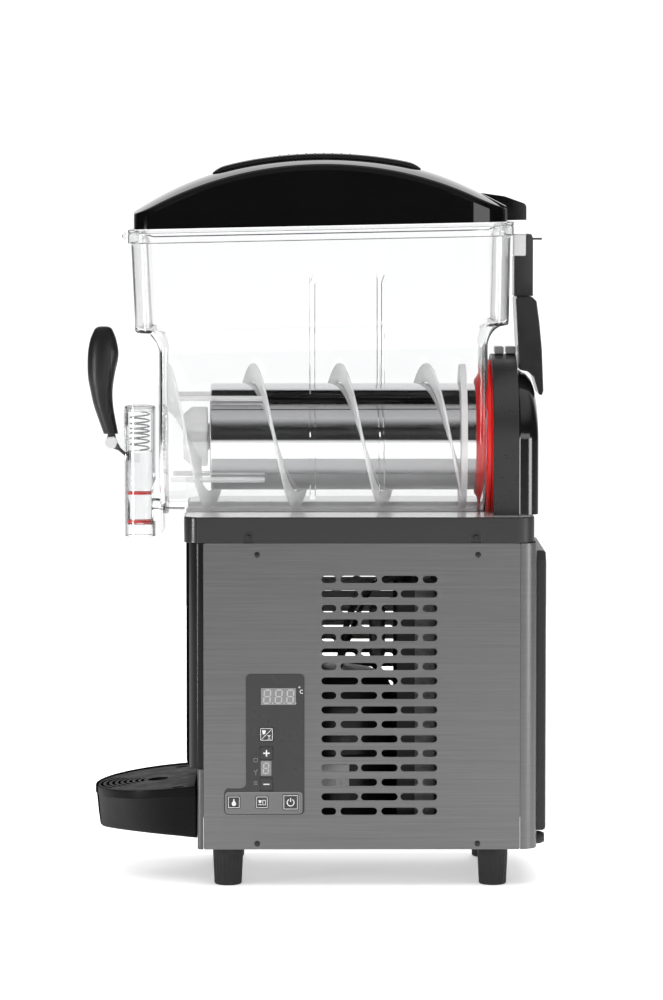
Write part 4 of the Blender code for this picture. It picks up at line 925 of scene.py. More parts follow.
def build_strip(strip, faint, key_holes):
    """The paler band round the three lower keys, with a thin border."""
    low = [key_holes[n] for n in ("button_lamp", "button_drink", "button_power")]
    bm = prism(rounded_rectangle(-100.0, -15.0, 84.0, 106.6, 3, 6), "x", *STRIP_X, low)
    piece("control_strip", bm, strip, "cabinet")
    bm = prism(rounded_rectangle(-100.6, -14.4, 83.3, 107.3, 3.4, 6), "x", *STRIP_INK,
               [rounded_rectangle(-99.9, -15.1, 84.0, 106.6, 2.8, 6)])
    add_bar(bm, (-17.7, 86), (-17.7, 104.5), 0.5, STRIP_INK)
    piece("control_border", bm, faint, "cabinet")


def build_displays(windows):
    window = plastic("window_grey", grey(128), 0.2, 0.05, 700.0, 0.000005)
    digit = plastic("digit_pale", grey(172), 0.4, 0.04, 700.0, 0.000005)
    for name, (a, b, c, d) in windows.items():
        bm = prism(rounded_rectangle(a, b, c, d, 0.4, 3), "x", FILM_X[1] - 8.0, FILM_X[1])
        piece(name + "_lens", bm, window, "cabinet", [name], bevel=0.15)
    bm = bmesh.new()
    for k in range(3):
        add_digit(bm, -53.7 + 12.9 * k, 215.0, 7.0, 14.6, 1.5)
        add_mark(bm, arc(-47.6 + 12.9 * k, 207.6, 0.8, 0, 330, 11), FILM_INK)
    add_digit(bm, -55.0, 134.3, 5.6, 11.6, 1.3)
    piece("display_digits", bm, digit, "cabinet")


def build_film_marks(ink, faint):
    """The degree mark and letter beside one display, the small marks beside the other."""
    bm = bmesh.new()
    add_mark(bm, arc(-17.6, 225.4, 1.0, 0, 330, 11), FILM_INK, [arc(-17.6, 225.4, 0.5, 0, 330, 11)])
    add_mark(bm, arc(-15.0, 220.5, 2.3, 50, 310, 14) + arc(-15.0, 220.5, 1.5, 310, 50, 14), FILM_INK)
    piece("degree_mark", bm, ink, "cabinet")

    bm = bmesh.new()
    add_square_frame(bm, -66.6, 143.5, 2.3, 0.5, FILM_INK)
    fork = (-66.5, 129.6)
    add_bar(bm, (-68.2, 131.5), fork, 0.6, FILM_INK)
    add_bar(bm, fork, (-64.9, 133.0), 0.6, FILM_INK)
    add_bar(bm, fork, (-66.5, 126.6), 0.6, FILM_INK)
    for k in range(3):
        z = 116.2 + 1.5 * k
        add_bar(bm, (-68.6, z), (-64.8, z), 0.5, FILM_INK)
    piece("level_marks", bm, faint, "cabinet")


# One function per key's white marks, drawn about the key's middle
def power_icon(bm, half):
    add_mark(bm, arc(0, -0.3, 4.4, 118, 422, 30) + arc(0, -0.3, 3.3, 422, 118, 30))
    add_bar(bm, (0, 1.0), (0, 4.2), 1.1)
    add_square_frame(bm, 0, 0, half - 0.5, 0.6)


def lamp_icon(bm, half):
    add_mark(bm, arc(0, -1.6, 2.5, -230, 50, 22)
             + [(0.7, 1.6), (0.7, 3.6), (-0.7, 3.6), (-0.7, 1.6)])
    add_square_frame(bm, 0, 0, half - 0.5, 0.55)


def drink_icon(bm, half):
    add_square_frame(bm, 0, 0, half - 0.5, 0.55)
    add_mark(bm, [(-4, 2.4), (-0.4, 2.4), (-1, -0.8), (-3.4, -0.8)])
    add_mark(bm, rounded_rectangle(0.6, 4.2, -3.2, 2.6, 0.5, 3),
             holes=[rounded_rectangle(1.2, 3.6, -2.6, 2.0, 0.3, 3)])
    add_bar(bm, (-3.8, -2.6), (-0.6, -2.6), 0.8)


def mode_icon(bm, half):
    add_square_frame(bm, 0, 0, half - 0.5, 0.6)
    add_bar(bm, (-5.4, -5.4), (5.4, 5.4), 0.6)
    add_mark(bm, [(-5, 4.6), (-0.6, 4.6), (-1.4, 0.6), (-4.0, -0.2)])
    add_mark(bm, [(0.9, -1.0), (4.9, -1.0), (2.9, -3.2)])
    add_bar(bm, (2.9, -2.8), (2.9, -5.0), 0.6)
    add_bar(bm, (1.4, -5.2), (4.4, -5.2), 0.5)


def plus_icon(bm, _half):
    add_mark(bm, plus_outline(3.7, 0.75))


def minus_icon(bm, _half):
    add_bar(bm, (-2.9, 0), (2.9, 0), 1.3)


ICONS = {
    "button_mode": mode_icon,
    "button_plus": plus_icon,
    "button_minus": minus_icon,
    "button_lamp": lamp_icon,
    "button_drink": drink_icon,
    "button_power": power_icon,
}


def build_keys(ink):
    key = plastic("key_dark", grey(46), 0.3, 0.08, 1200.0, 0.00001)
    face = FILM_X[1]
    for name, (y, z, half) in BUTTONS.items():
        steps = ((face - 6, half - 1, 0.5), (face - 3, half - 1, 0.5), (face - 3, half, 0.8),
                 (face, half, 0.8), (face + 0.2, half - 0.12, 0.8), (face + 0.3, half - 0.4, 0.7))
        bm = loft([[(x, u, v) for u, v in square(y, z, s, r)] for x, s, r in steps])
        piece(name + "_key", bm, key, name, [name], smooth=50)
        bm = bmesh.new()
        ICONS[name](bm, half)
        bmesh.ops.translate(bm, verts=bm.verts, vec=(0, y, z))
        piece(name + "_icon", bm, ink, name)


def build_controls():
    film = plastic("film_dark", grey(60), 0.3, 0.06, 1500.0, 0.00001, specular=0.25)
    strip = plastic("film_strip", grey(104), 0.33, 0.05, 1500.0, 0.00001)
    ink = plastic("ink_white", grey(222), 0.45, 0.03, 900.0, 0.000005)
    faint = plastic("ink_grey", grey(132), 0.45, 0.03, 900.0, 0.000005)
    key_holes = {name: square(y, z, half + GAP + 0.1) for name, (y, z, half) in BUTTONS.items()}
    windows = {"temperature_display": TEMPERATURE_WINDOW, "level_display": LEVEL_WINDOW}
    build_film(film, key_holes, windows)
    build_strip(strip, faint, key_holes)
    build_displays(windows)
    build_film_marks(ink, faint)
    build_keys(ink)


# ---------------------------------------------------------------- drum, auger, drive
def build_drum():
    steel = metal("drum_polished", (0.83, 0.83, 0.84), 0.07, 0.02, 5.0, 0.0000015, 300.0)
    wall, hole = 2.0, 10.0
    bevel = arc(DRUM_R - 2.5, DRUM_FRONT + 2.5, 2.5, -90, 0, 6)
    profile = [(hole, DRUM_FRONT), (20, DRUM_FRONT)] + bevel
    profile += [(DRUM_R, DRUM_FRONT + 40), (DRUM_R, DRUM_REAR), (DRUM_R - wall, DRUM_REAR),
                (DRUM_R - wall, DRUM_FRONT + 5), (hole, DRUM_FRONT + wall)]
    bm = lathe(profile, "y", 0, AXIS_Z, 160, closed=True)
    piece("drum_shell", bm, steel, "cabinet", ["freezing_drum"], smooth=30)


def build_gasket():
    red = plastic("gasket_red", (0.72, 0.012, 0.01), 0.34, 0.1, 900.0, 0.00002, specular=0.6)
    shader = red.node_tree.nodes["Principled BSDF"]
    shader.inputs["Subsurface Weight"].default_value = 0.2
    shader.inputs["Subsurface Radius"].default_value = (0.006, 0.001, 0.001)
    inner, flare, front = DRUM_R + GAP, 84.4, 182.5
    profile = [(inner, front + 1.5), (inner + 4, front)]
    steps = 12
    for k in range(1, steps + 1):
        t = k / steps
        lift = 0.9 if k % 3 == 1 else 0.0
        profile.append((inner + 4 + (flare - inner - 4) * t - lift, front + 11.9 * t - lift))
    profile += [(87.3, 194.9), (88.5, 196.2), (88.5, 198.2), (87.4, 199.0), (88.5, 199.8),
                (88.5, 203.6), (inner, 200.0)]
    bm = lathe(profile, "y", 0, AXIS_Z, 120, closed=True)
    piece("gasket_ring", bm, red, "cabinet", ["bowl_gasket"], smooth=25)


def blade_angle(y):
    return math.pi / 2 - 2 * math.pi * (y - AUGER_CREST_Y) / AUGER_PITCH


def build_auger():
    mat = milky("auger_milky", grey(246), 0.42, 0.42)
    steps_per_turn = 72
    count = round((AUGER_REAR - AUGER_FRONT) / AUGER_PITCH * steps_per_turn)
    rings = []
    for k in range(count + 1):
        y = AUGER_FRONT + (AUGER_REAR - AUGER_FRONT) * k / count
        inner = AUGER_BORE_R if y > DRUM_FRONT - 12 else HUB_R - 4
        a = blade_angle(y)
        half = BLADE_T / 2
        section = ((inner, -half), (AUGER_R - 1.6, -half * 0.78), (AUGER_R - 0.5, -half * 0.62),
                   (AUGER_R, -half * 0.25), (AUGER_R, half * 0.25), (AUGER_R - 0.5, half * 0.62),
                   (AUGER_R - 1.6, half * 0.78), (inner, half))
        rings.append([(r * math.cos(a), y + s, AXIS_Z + r * math.sin(a)) for r, s in section])
    bm = loft(rings)
    bm = joined(bm, [(auger_hub(), "UNION"), (auger_bars(), "UNION")])
    piece("auger_blade", bm, mat, "auger", ["auger"], smooth=30)


def auger_hub():
    """The collar at the rear and the bored hub at the front."""
    hub = lathe([(AUGER_BORE_R, 165.0), (AUGER_R - 1.6, 165.0), (AUGER_R - 1, 165.6),
                 (AUGER_R - 1, 171.4), (AUGER_R - 1.6, 172.0), (AUGER_BORE_R, 172.0)],
                "y", 0, AXIS_Z, 120, closed=True)
    bore = SHAFT_R + GAP
    add_lathe(hub, [(bore, HUB_FRONT), (bore, HUB_REAR), (HUB_R - 1, HUB_REAR),
                    (HUB_R, HUB_REAR - 1), (HUB_R, HUB_FRONT + 10), (HUB_R - 0.8, HUB_FRONT + 8.6),
                    (HUB_R - 7.4, HUB_FRONT + 0.6), (HUB_R - 8.4, HUB_FRONT)],
              "y", 0, AXIS_Z, 80, closed=True)
    return hub


def auger_bars():
    """Four square bars that tie the blade's front turns together."""
    bars = bmesh.new()
    radius, half, y0, y1 = 65.0, 2.4, -163.5, -57.0
    for quarter in range(4):
        a = math.radians(45 + 90 * quarter)
        out = Vector((math.cos(a), 0, math.sin(a)))
        side = Vector((-math.sin(a), 0, math.cos(a)))
        mid = Vector((0, 0, AXIS_Z)) + out * radius
        ring = [mid + out * u + side * v for u, v in
                rounded_rectangle(-half, half, -half, half, 0.8, 3)]
        add_loft(bars, [[(p.x, y, p.z) for p in ring] for y in (y0, y1)])
    return bars


def arch_ring(y, half, top, bottom):
    """A section of the rear housing: upright sides and a round head about the drum's axis."""
    steps = 40
    points = [(half, y, bottom)]
    rise = top - AXIS_Z
    for k in range(steps + 1):
        a = math.pi * k / steps
        points.append((half * math.cos(a), y, AXIS_Z + rise * math.sin(a)))
    return points + [(-half, y, bottom)]


def build_rear_housing():
    flange = plastic("housing_flange", grey(40), 0.3, 0.06, 1000.0, 0.00001, wear=0.12)
    gloss = plastic("housing_gloss", grey(15), 0.12, 0.1, 1000.0, 0.000006, wear=0.12, coat=0.3,
                    waves=0.0002)
    bottom = DECK_TOP + GAP
    bm = bmesh.new()
    shape = ((HOUSING_FRONT, HOUSING_HALF, HOUSING_TOP), (FLANGE_BACK, HOUSING_HALF, HOUSING_TOP),
             (231, 93.6, 577), (236, 92.4, 573.5), (241, 90.6, 571), (246, 87.5, 565),
             (249.2, 84, 557), (251.2, 79.5, 547), (252, 74, 536))
    add_loft(bm, [arch_ring(y, half, top, bottom) for y, half, top in shape])
    hollow = bmesh.new()
    cavity = ((207, 91.5, 590), (227, 91.5, 590), (229, 89.5, 573), (240, 87.5, 568),
              (246, 82, 558), (249, 72, 540))
    add_loft(hollow, [arch_ring(y, half, top, bottom - 10) for y, half, top in cavity])
    hole = rod(30, 198, 210, "y", 0, AXIS_Z, 64)
    band = bmesh.new()
    wide = ((200.3, HOUSING_HALF - 0.7, HOUSING_TOP - 0.7), (201.0, HOUSING_HALF, HOUSING_TOP),
            (206.0, HOUSING_HALF, HOUSING_TOP))
    add_loft(band, [arch_ring(y, half, top, bottom + 0.01) for y, half, top in wide])
    core = loft([arch_ring(y, 90.4, 589.4, bottom - 3) for y in (198.0, 204.0)])
    band = joined(band, [(core, "DIFFERENCE")])
    bm = joined(bm, [(hollow, "DIFFERENCE"), (hole, "DIFFERENCE"), (band, "UNION")])
    obj = piece("housing_shell", bm, gloss, "cabinet", ["rear_housing"], smooth=24)
    obj.data.materials.append(flange)
    for face in obj.data.polygons:
        if face.center.y < (FLANGE_BACK + 0.2) * MM:
            face.material_index = 1


def build_bowl_rests():
    pad_mat = plastic("rest_pad", grey(128), 0.25, 0.06, 800.0, 0.00001, coat=0.3)
    rests = {"bowl_rest_front": (204.8, 215.4), "bowl_rest_rear": (217.6, 229.0)}
    for name, (y0, y1) in rests.items():
        bm = prism(rounded_rectangle(y0, y1, HOUSING_TOP + GAP + 0.1, 602.5, 1.5, 6), "x", -14, 14)
        piece(name + "_pad", bm, pad_mat, "cabinet", [name], bevel=0.5, segments=3)


def build_arm():
    """The hood on the housing, the post above it with its pin, and the lamp window."""
    satin = plastic("arm_satin", grey(16), 0.2, 0.1, 1000.0, 0.00001, wear=0.15, coat=0.2)
    pale = plastic("lamp_window", grey(205), 0.3, 0.04, 700.0, 0.00001)
    base = ARM_BASE_Z
    hood = [(231.8, 577.0), (227.6, base - 3), (229.2, base), (246.0, base), (251.2, base - 5),
            (254.6, 630.0), (257.4, 600.0), (259.3, 553.0), (257.6, 548.0), (254.2, 549.0),
            (248.5, 569.0), (241.0, 575.2)]
    radii = [2, 1.2, 1.2, 3, 3, 20, 30, 1.8, 1.4, 2, 4, 4]
    bm = prism(round_corners(hood, radii, 5), "x", -40, 40)
    piece("rear_hood_shell", bm, satin, "cabinet", ["rear_hood"], bevel=2.4, segments=5,
          limit=60)

    arm = [(226.5, base + GAP), (248.0, base + GAP), (248.0, 726.0), (246.0, 730.8), (240.4, 730.8),
           (240.4, 705.6), (226.5, 705.6)]
    bm = prism(round_corners(arm, [0.3, 0.3, 2, 1.5, 0.6, 2.2, 1.0], 5), "x", -22, 22)
    piece("rear_arm_post", bm, satin, "cabinet", ["rear_arm"], bevel=1.5, segments=4,
          limit=60)
    dark = metal("pin_dark", grey(92), 0.35)
    tube("arm_pin_rod", [(0, 246.0, 725), (0, 250, 725), (0, 254, 725), (0, 259.3, 725)], 1.2, dark,
         "cabinet")
    bm = prism(round_corners([(226.8, 706.0), (240.0, 706.0), (240.0, 730.4), (226.8, 730.4)],
                             [1.2, 2.0, 1.0, 0.8], 5), "x", -21.5, 21.5)
    piece("lamp_window_block", bm, pale, "cabinet", ["lamp_contact"], bevel=0.6,
          segments=3, limit=60)


# ---------------------------------------------------------------- bowl and lid
# The bowl's upper part and the lid lean up to the rear, as they do in the photo
SEAT_SLOPE, SEAT_PIVOT_Y = 0.0211, 16.6
SEAT_LOW, SEAT_HIGH = 530.0, 610.0


def seat(bm, lift=0.0):
    """Lean everything above SEAT_LOW; lift raises the shoulder by that much."""
    for vert in bm.verts:
        t = min(1.0, max(0.0, (vert.co.z - SEAT_LOW) / (SEAT_HIGH - SEAT_LOW)))
        ease = t * t * (3 - 2 * t)
        rise = lift * math.exp(-((vert.co.z - 625.0) / 45.0) ** 2)
        vert.co.z += ease * (SEAT_SLOPE * (vert.co.y - SEAT_PIVOT_Y) + rise)


RIBS = ((-6.0, 0.8), (72.4, 78.4))
RIB_LOW, RIB_HIGH, RIB_HEIGHT = 434.0, 722.0, 0.9


def bowl_stations(inset):
    """(z, half width, front, rear, corner radius) from the bottom of the trough to the rim."""
    radius = TROUGH_R - inset
    front, rear = BOWL_FRONT + inset, BOWL_REAR - inset
    stations = []
    for k in range(37):
        a = math.radians(7 + 83 * k / 36)
        half = radius * math.sin(a)
        stations.append((AXIS_Z - radius * math.cos(a), half, front, rear, min(8.0, 0.7 * half)))
    for z in (AXIS_Z + 34, AXIS_Z + 68):
        stations.append((z, radius, front, rear, 8.0))
    fillet = SHOULDER_R + inset
    rear_fillet = fillet - 3
    for k in range(13):
        a = math.radians(7.5 * k)
        step = 1 - math.cos(a)
        rise = math.sin(a)
        stations.append((SHOULDER_Z + fillet * rise, radius + 5 * rise * rise * (3 - 2 * rise),
                         front - fillet * step, rear + rear_fillet * step, 8.0 + k))
    base = SHOULDER_Z + SHOULDER_R
    half, front, rear = NECK_HALF - inset, NECK_FRONT + inset, NECK_REAR - inset
    stations += [(base + inset + 0.7, half, front + 1.9, rear - 1.6, 21),
                 (base + inset + 1.9, half, front + 0.5, rear - 0.4, 22),
                 (base + inset + 4, half, front, rear, 22)]
    start = base + 4
    height = RIM_BOTTOM - start
    for t in (0.25, 0.5, (RIB_HIGH - 3 - start) / height, (RIB_HIGH - start) / height, 1.0):
        stations.append((start + height * t, half + 3 * t, front - 4.5 * t, rear + 2 * t, 22 + 2 * t))
    return stations


def rim_station(z, inset, radius):
    return (z, RIM_HALF - inset, RIM_FRONT + inset, RIM_REAR - inset, radius)


def bowl_ring(station, ribs):
    z, half, front, rear, radius = station
    corners = rounded_rectangle(-half, half, front, rear, radius, 9)
    quarter = len(corners) // 4
    lift = 0.0
    if ribs and RIB_LOW < z < RIB_HIGH - 1:
        lift = RIB_HEIGHT
    near = []
    for y0, y1 in RIBS:
        near += [(half, y0), (half + lift, y0 + 0.9), (half + lift, y1 - 0.9), (half, y1)]
    far = [(-u, v) for u, v in reversed(near)]
    outline = (corners[:quarter] + near + corners[quarter:3 * quarter] + far
               + corners[3 * quarter:])
    return plan_ring(outline, z)


def build_bowl():
    mat = clear("bowl_clear", (0.985, 0.988, 0.99), 0.012, 1.47, 0.93, 0.0003)
    low, top = RIM_BOTTOM, RIM_TOP
    rim = ((low + 0.2, 1.1, 26), (low + 0.9, 0.2, 27), (low + 1.8, 0, 27), (top - 5.6, 0, 27),
           (top - 5.2, 0.8, 26.4), (top - 4.6, 0.9, 26.4), (top - 4.1, 0, 27), (top - 0.7, 0, 27),
           (top, 0.7, 26.4), (top, 5.1, 23.4), (top - 0.6, 5.6, 23))
    rings = [bowl_ring(station, True) for station in bowl_stations(0.0)]
    rings += [bowl_ring(rim_station(*row), False) for row in rim]
    rings += [bowl_ring(station, False) for station in bowl_stations(BOWL_WALL)[::-1]]
    bm = loft(rings)
    bm = joined(bm, [(bowl_tabs(), "UNION"), (bowl_openings(), "DIFFERENCE")])
    rim_low = RIM_TOP - 3.2
    shaded_rim_faces = {f.index for f in bm.faces if f.calc_center_median().z > rim_low}
    seat(bm, lift=2.5)
    # Painted shade: the top of the rim gets a grey tint, for the black lid seen through it.
    rim_shade_mat = clear("bowl_rim_shaded_clear", (0.83, 0.833, 0.835), 0.06, 1.45, 0.9, 0.0002)
    obj = piece("bowl_shell", bm, mat, "bowl", ["bowl"], smooth=28)
    obj.data.materials.append(rim_shade_mat)
    for face in obj.data.polygons:
        if face.index in shaded_rim_faces:
            face.material_index = 1


def bowl_tabs():
    """The front grip, the rear shelf and the hook that holds the tap."""
    tabs = prism(rounded_rectangle(-22, 22, -219, -208.5, 3, 5), "z", 731.5, 735)
    add_box(tabs, -18, 18, -217.6, -216.2, 728.6, 738.0)
    shelf = [(221, 732.5), (257.4, 732.5), (258, 733.1), (258, 734.0), (243.5, 739.4), (221, 739.4)]
    add_prism(tabs, shelf, "x", -26, 26)
    hook = [(-43, -175.4), (43, -175.4), (43, -147.9), (40, -147.9), (40, -172.6),
            (-40, -172.6), (-40, -147.9), (-43, -147.9)]
    add_prism(tabs, hook, "z", 391, 421.3)
    return tabs


def bowl_openings():
    """The round mouth over the drum and the port to the tap."""
    mouth = rod(BOWL_MOUTH_R, 187, 205, "y", 0, AXIS_Z, 120)
    add_rod(mouth, PORT_R, -184, -168, "y", 0, PORT_Z, 40)
    return mouth


def lid_arc(y):
    return LID_CREST_Z - LID_ARC_R + math.sqrt(LID_ARC_R ** 2 - (y - LID_CREST_Y) ** 2)


def lid_side_top(y):
    """Height of the edge where the lid's side meets its crown."""
    along = y - LID_CREST_Y
    return lid_arc(y) - 1.3 - 0.01 * along - 0.0000162 * along ** 2


def lid_crown(x, y):
    ridge = (lid_arc(y) + LID_CROWN + 3.6 * math.exp(-((y + 135.0) / 90.0) ** 2)
             + math.exp(-((y - 120.0) / 50.0) ** 2) - 1.6 * math.exp(-((y - 200.0) / 40.0) ** 2))
    side = lid_side_top(y)
    return side + (ridge - side) * (1 - abs(x / LID_HALF) ** 3.0)


def lid_rings(inset, bottom, edge):
    """Stations along Y; the half width follows a plan with rounded corners."""
    radius, wide = 26.0 - inset, 40.0 - inset
    front, rear, half = LID_FRONT + inset, LID_REAR - inset, LID_HALF - inset
    spots = []
    for k in range(15):
        a = math.radians(90 * k / 14)
        spots.append((front + radius * (1 - math.cos(a)), half - radius * (1 - math.sin(a))))
    for k in range(1, 60):
        spots.append((front + radius + (rear - front - radius - wide) * k / 60, half))
    for k in range(21):
        a = math.radians(90 - 90 * k / 20)
        spots.append((rear - wide * (1 - math.cos(a)), half - wide * (1 - math.sin(a))))
    rings = []
    for y, w in spots:
        top = lid_crown(w, y) - inset
        drop = min(6.5, 0.4 * (top - bottom)) if edge else 1.0
        right = [(w, bottom)]
        if edge:
            right += [(w, top - drop), (w - 0.25, top - drop + 0.5), (w - 1.5, top - 1.2),
                      (w - 1.8, top - 0.6), (w - 2.3, top - 0.2)]
        else:
            right += [(w, top - drop)]
        reach = w - (3.0 if edge else 1.0)
        crown = []
        for k in range(21):
            x = reach * (1 - k / 10)
            crown.append((x, lid_crown(x, y) - inset))
        left = [(-x, z) for x, z in reversed(right)]
        rings.append([(x, y, z) for x, z in right + crown + left])
    return rings


def build_lid():
    gloss = plastic("lid_gloss", grey(8), 0.055, 0.1, 900.0, 0.000003, wear=0.1, coat=0.1,
                    waves=0.0001)
    bm = loft(lid_rings(0.0, LID_BOTTOM, True))
    hollow = loft(lid_rings(2.6, LID_BOTTOM - 5, False))
    bm = joined(bm, [(hollow, "DIFFERENCE")])
    seat(bm)
    piece("lid_shell", bm, gloss, "lid", ["lid"], smooth=28)
    build_grip_strip()
    build_lamp_cap(gloss)


def build_grip_strip():
    """The satin strip along the crown and its nine low ridges."""
    satin = plastic("strip_satin", grey(30), 0.3, 0.12, 1500.0, 0.00002, wear=0.15)
    rings = []
    half, thick = 40.0, 5.4
    lo, hi = -116.0, 120.0
    for k in range(61):
        t = k / 60
        y = lo + (hi - lo) * t
        ease = min(1.0, (y - lo) / 14.0, (hi - y) / 14.0)
        high_z = 1.6 + (thick - 1.6) * math.sin(math.pi / 2 * ease) ** 0.8
        w = half - 3.0 * (1 - ease) ** 2
        xs = [w * (1 - i / 6) for i in range(13)]
        low = [(x, y, lid_crown(x, y) + GAP) for x in xs]
        high = [(x * 0.985, y, lid_crown(x, y) + high_z - (0.5 if abs(x) > 0.95 * w else 0.0))
                for x in reversed(xs)]
        rings.append(low + high)
    bm = loft(rings)
    seat(bm)
    piece("grip_strip", bm, satin, "lid", ["lid_grip_strip"], smooth=35, bevel=0.4)
    bm = bmesh.new()
    corners = ((-26, -1.4), (26, -1.4), (26, 1.4), (-26, 1.4))
    for k in range(9):
        y = -40 + 10.0 * k
        foot = [(x, y + s, lid_crown(x, y) + thick - 0.45) for x, s in corners]
        crest = [(x * 0.98, y + s * 0.5, lid_crown(x, y) + thick + 0.55) for x, s in corners]
        add_loft(bm, [foot, crest])
    seat(bm)
    piece("grip_ridges", bm, satin, "lid")


def build_lamp_cap(gloss):
    """The block on the lid that sits over the arm's lamp."""
    top_front, back = 189.0, 240.0
    profile = [(y, lid_crown(0, y) + 0.4) for y in (top_front, 198.0, 207.0, LID_REAR + 0.4)]
    profile += [(LID_REAR + 0.4, 742.2), (back, 742.2)]
    profile += arc(back - 6, 756.0, 6, 0, 75, 8) + [(215.0, 769.6), (top_front, 773.8)]
    bm = prism(profile, "x", -29, 29)
    seat(bm)
    piece("lamp_cap_shell", bm, gloss, "lid", ["lid_lamp_cap"], bevel=1.8,
          segments=5, limit=40)


# ---------------------------------------------------------------- tap
def build_tap():
    mat = clear("tap_clear", (0.975, 0.98, 0.982), 0.012, 1.47, 0.9, 0.0002)
    bm = lathe([(0, TAP_BOTTOM), (TAP_R - 0.5, TAP_BOTTOM), (TAP_R, TAP_BOTTOM + 0.5),
                (TAP_R, TAP_TOP - 0.5), (TAP_R - 0.5, TAP_TOP), (0, TAP_TOP)],
               "z", 0, TAP_Y, 90)
    extra = bmesh.new()
    spout = [(-177.0, 463.0), (-191.0, 428.0), (-191.0, 402.0), (-177.0, 402.0)]
    add_prism(extra, spout, "x", -12, 12)
    for side in (-1, 1):
        lug = [(-215.8, 478.0), (-215.8, 510.0)] + arc(PIVOT_Y, PIVOT_Z, 8.0, 60, 270, 24)
        hole = arc(PIVOT_Y, PIVOT_Z, PIVOT_BORE_R, 0, 345, 23)
        add_prism(extra, lug, "x", side * 4.3, side * 7.3, [hole])
    flange = prism(rounded_rectangle(-24, 24, 393, 565, 6), "y", -178.7, -175.8)
    bore = rod(TAP_BORE_R, TAP_BOTTOM - 5, TAP_TOP + 5, "z", 0, TAP_Y, 90)
    port = rod(PORT_R, TAP_Y, -170, "y", 0, PORT_Z, 42)
    slot = bmesh.new()
    add_box(slot, -3.6, 3.6, -224, -208, 472, 498)
    bm = joined(bm, [(extra, "UNION"), (flange, "UNION"), (bore, "DIFFERENCE"),
                     (port, "DIFFERENCE"), (slot, "DIFFERENCE")])
    piece("tap_tube", bm, mat, "bowl", ["tap_body"], smooth=28)
    build_tap_cap(mat)
    build_catch(mat)
    build_pivot_bolt()


def build_tap_cap(mat):
    z = TAP_TOP + GAP
    profile = [(0, z - 4), (TAP_BORE_R - GAP, z - 4), (TAP_BORE_R - GAP, z), (TAP_R, z),
               (TAP_R, z + 1.4), (TAP_R - 0.6, z + 2), (12, z + 3.4), (6, z + 4.05), (0, z + 4.2)]
    bm = lathe(profile, "z", 0, TAP_Y, 90)
    piece("tap_cap_plug", bm, mat, "bowl", ["tap_cap"], smooth=28)


def build_catch(mat):
    """A dark catch in a clear block on the front of the tap."""
    dark = plastic("catch_dark", grey(60), 0.4)
    bm = bmesh.new()
    add_box(bm, -4, 4, -216.9, -214.4, 511.0, 526.0)
    piece("tap_catch", bm, dark, "bowl", bevel=0.5)
    bm = prism(rounded_rectangle(-219.4, -213.6, 508.5, 530.0, 1.0, 4), "x", -6, 6)
    hollow = bmesh.new()
    add_box(hollow, -4.4, 4.4, -217.3, -214.0, 510.6, 526.4)
    add_rod(hollow, TAP_R + GAP, 500, 540, "z", 0, TAP_Y, 90)
    bm = joined(bm, [(hollow, "DIFFERENCE")])
    piece("tap_catch_block", bm, mat, "bowl", bevel=0.3)


def build_pivot_bolt():
    pale = plastic("bolt_pale", grey(206), 0.3, 0.06, 900.0, 0.00001, coat=0.3)

    def hexagon(x, radius):
        points = []
        for k in range(12):
            a = math.radians(30 * k + 8)
            r = radius if k % 2 == 0 else radius * math.cos(math.radians(30))
            points.append((x, PIVOT_Y + r * math.cos(a), PIVOT_Z + r * math.sin(a)))
        return points

    def circle(x, radius):
        return [(x, u, v) for u, v in arc(PIVOT_Y, PIVOT_Z, radius, 8, 338, 11)]
    bm = loft([circle(12.4, 5.9), hexagon(11.7, 7.55), hexagon(7.6, 7.6), circle(7.6, 3.0),
               circle(-7.6, 3.0), hexagon(-7.6, 6.4), hexagon(-12.0, 6.4)])
    piece("pivot_bolt_hex", bm, pale, "bowl", ["pivot_bolt"], bevel=0.25)


def spline(rows, per_span):
    """Smooth rows of numbers by a Catmull-Rom curve through them."""
    out = []
    last = len(rows) - 1
    for k in range(last):
        p0, p1, p2, p3 = rows[max(k - 1, 0)], rows[k], rows[k + 1], rows[min(k + 2, last)]
        for s in range(per_span):
            t = s / per_span
            out.append(tuple(0.5 * (2 * b + (c - a) * t + (2 * a - 5 * b + 4 * c - d) * t * t
                                    + (3 * b - a - 3 * c + d) * t ** 3)
                             for a, b, c, d in zip(p0, p1, p2, p3)))
    return out + [rows[-1]]


def build_handle():
    grip = plastic("handle_black", grey(24), 0.33, 0.12, 1500.0, 0.00003, wear=0.1, specular=0.35)
    sections = ((620.0, -241.6, 11.0, 9.5), (609.0, -241.8, 15.2, 12.0),
                (592.0, -242.0, 17.6, 13.5), (569.0, -244.2, 15.3, 13.0),
                (551.6, -243.9, 12.7, 11.5), (534.4, -241.7, 11.1, 10.5),
                (517.2, -237.4, 9.6, 9.5), (502.2, -233.3, 8.4, 8.5))
    cap = [(625.0, -241.5, 2.0, 1.8), (624.9, -241.5, 4.2, 3.8), (624.4, -241.5, 6.6, 5.9),
           (623.2, -241.5, 8.7, 7.7), (621.7, -241.6, 10.1, 8.8)]
    rings = []
    for z, y, deep, wide in cap + spline(sections, 8):
        rings.append([(u, v, z) for u, v in arc(0, y, wide, 0, 352.5, 47, deep / wide)])
    bm = loft(rings)
    piece("handle_grip", bm, grip, "tap_handle", ["tap_handle"], smooth=60)


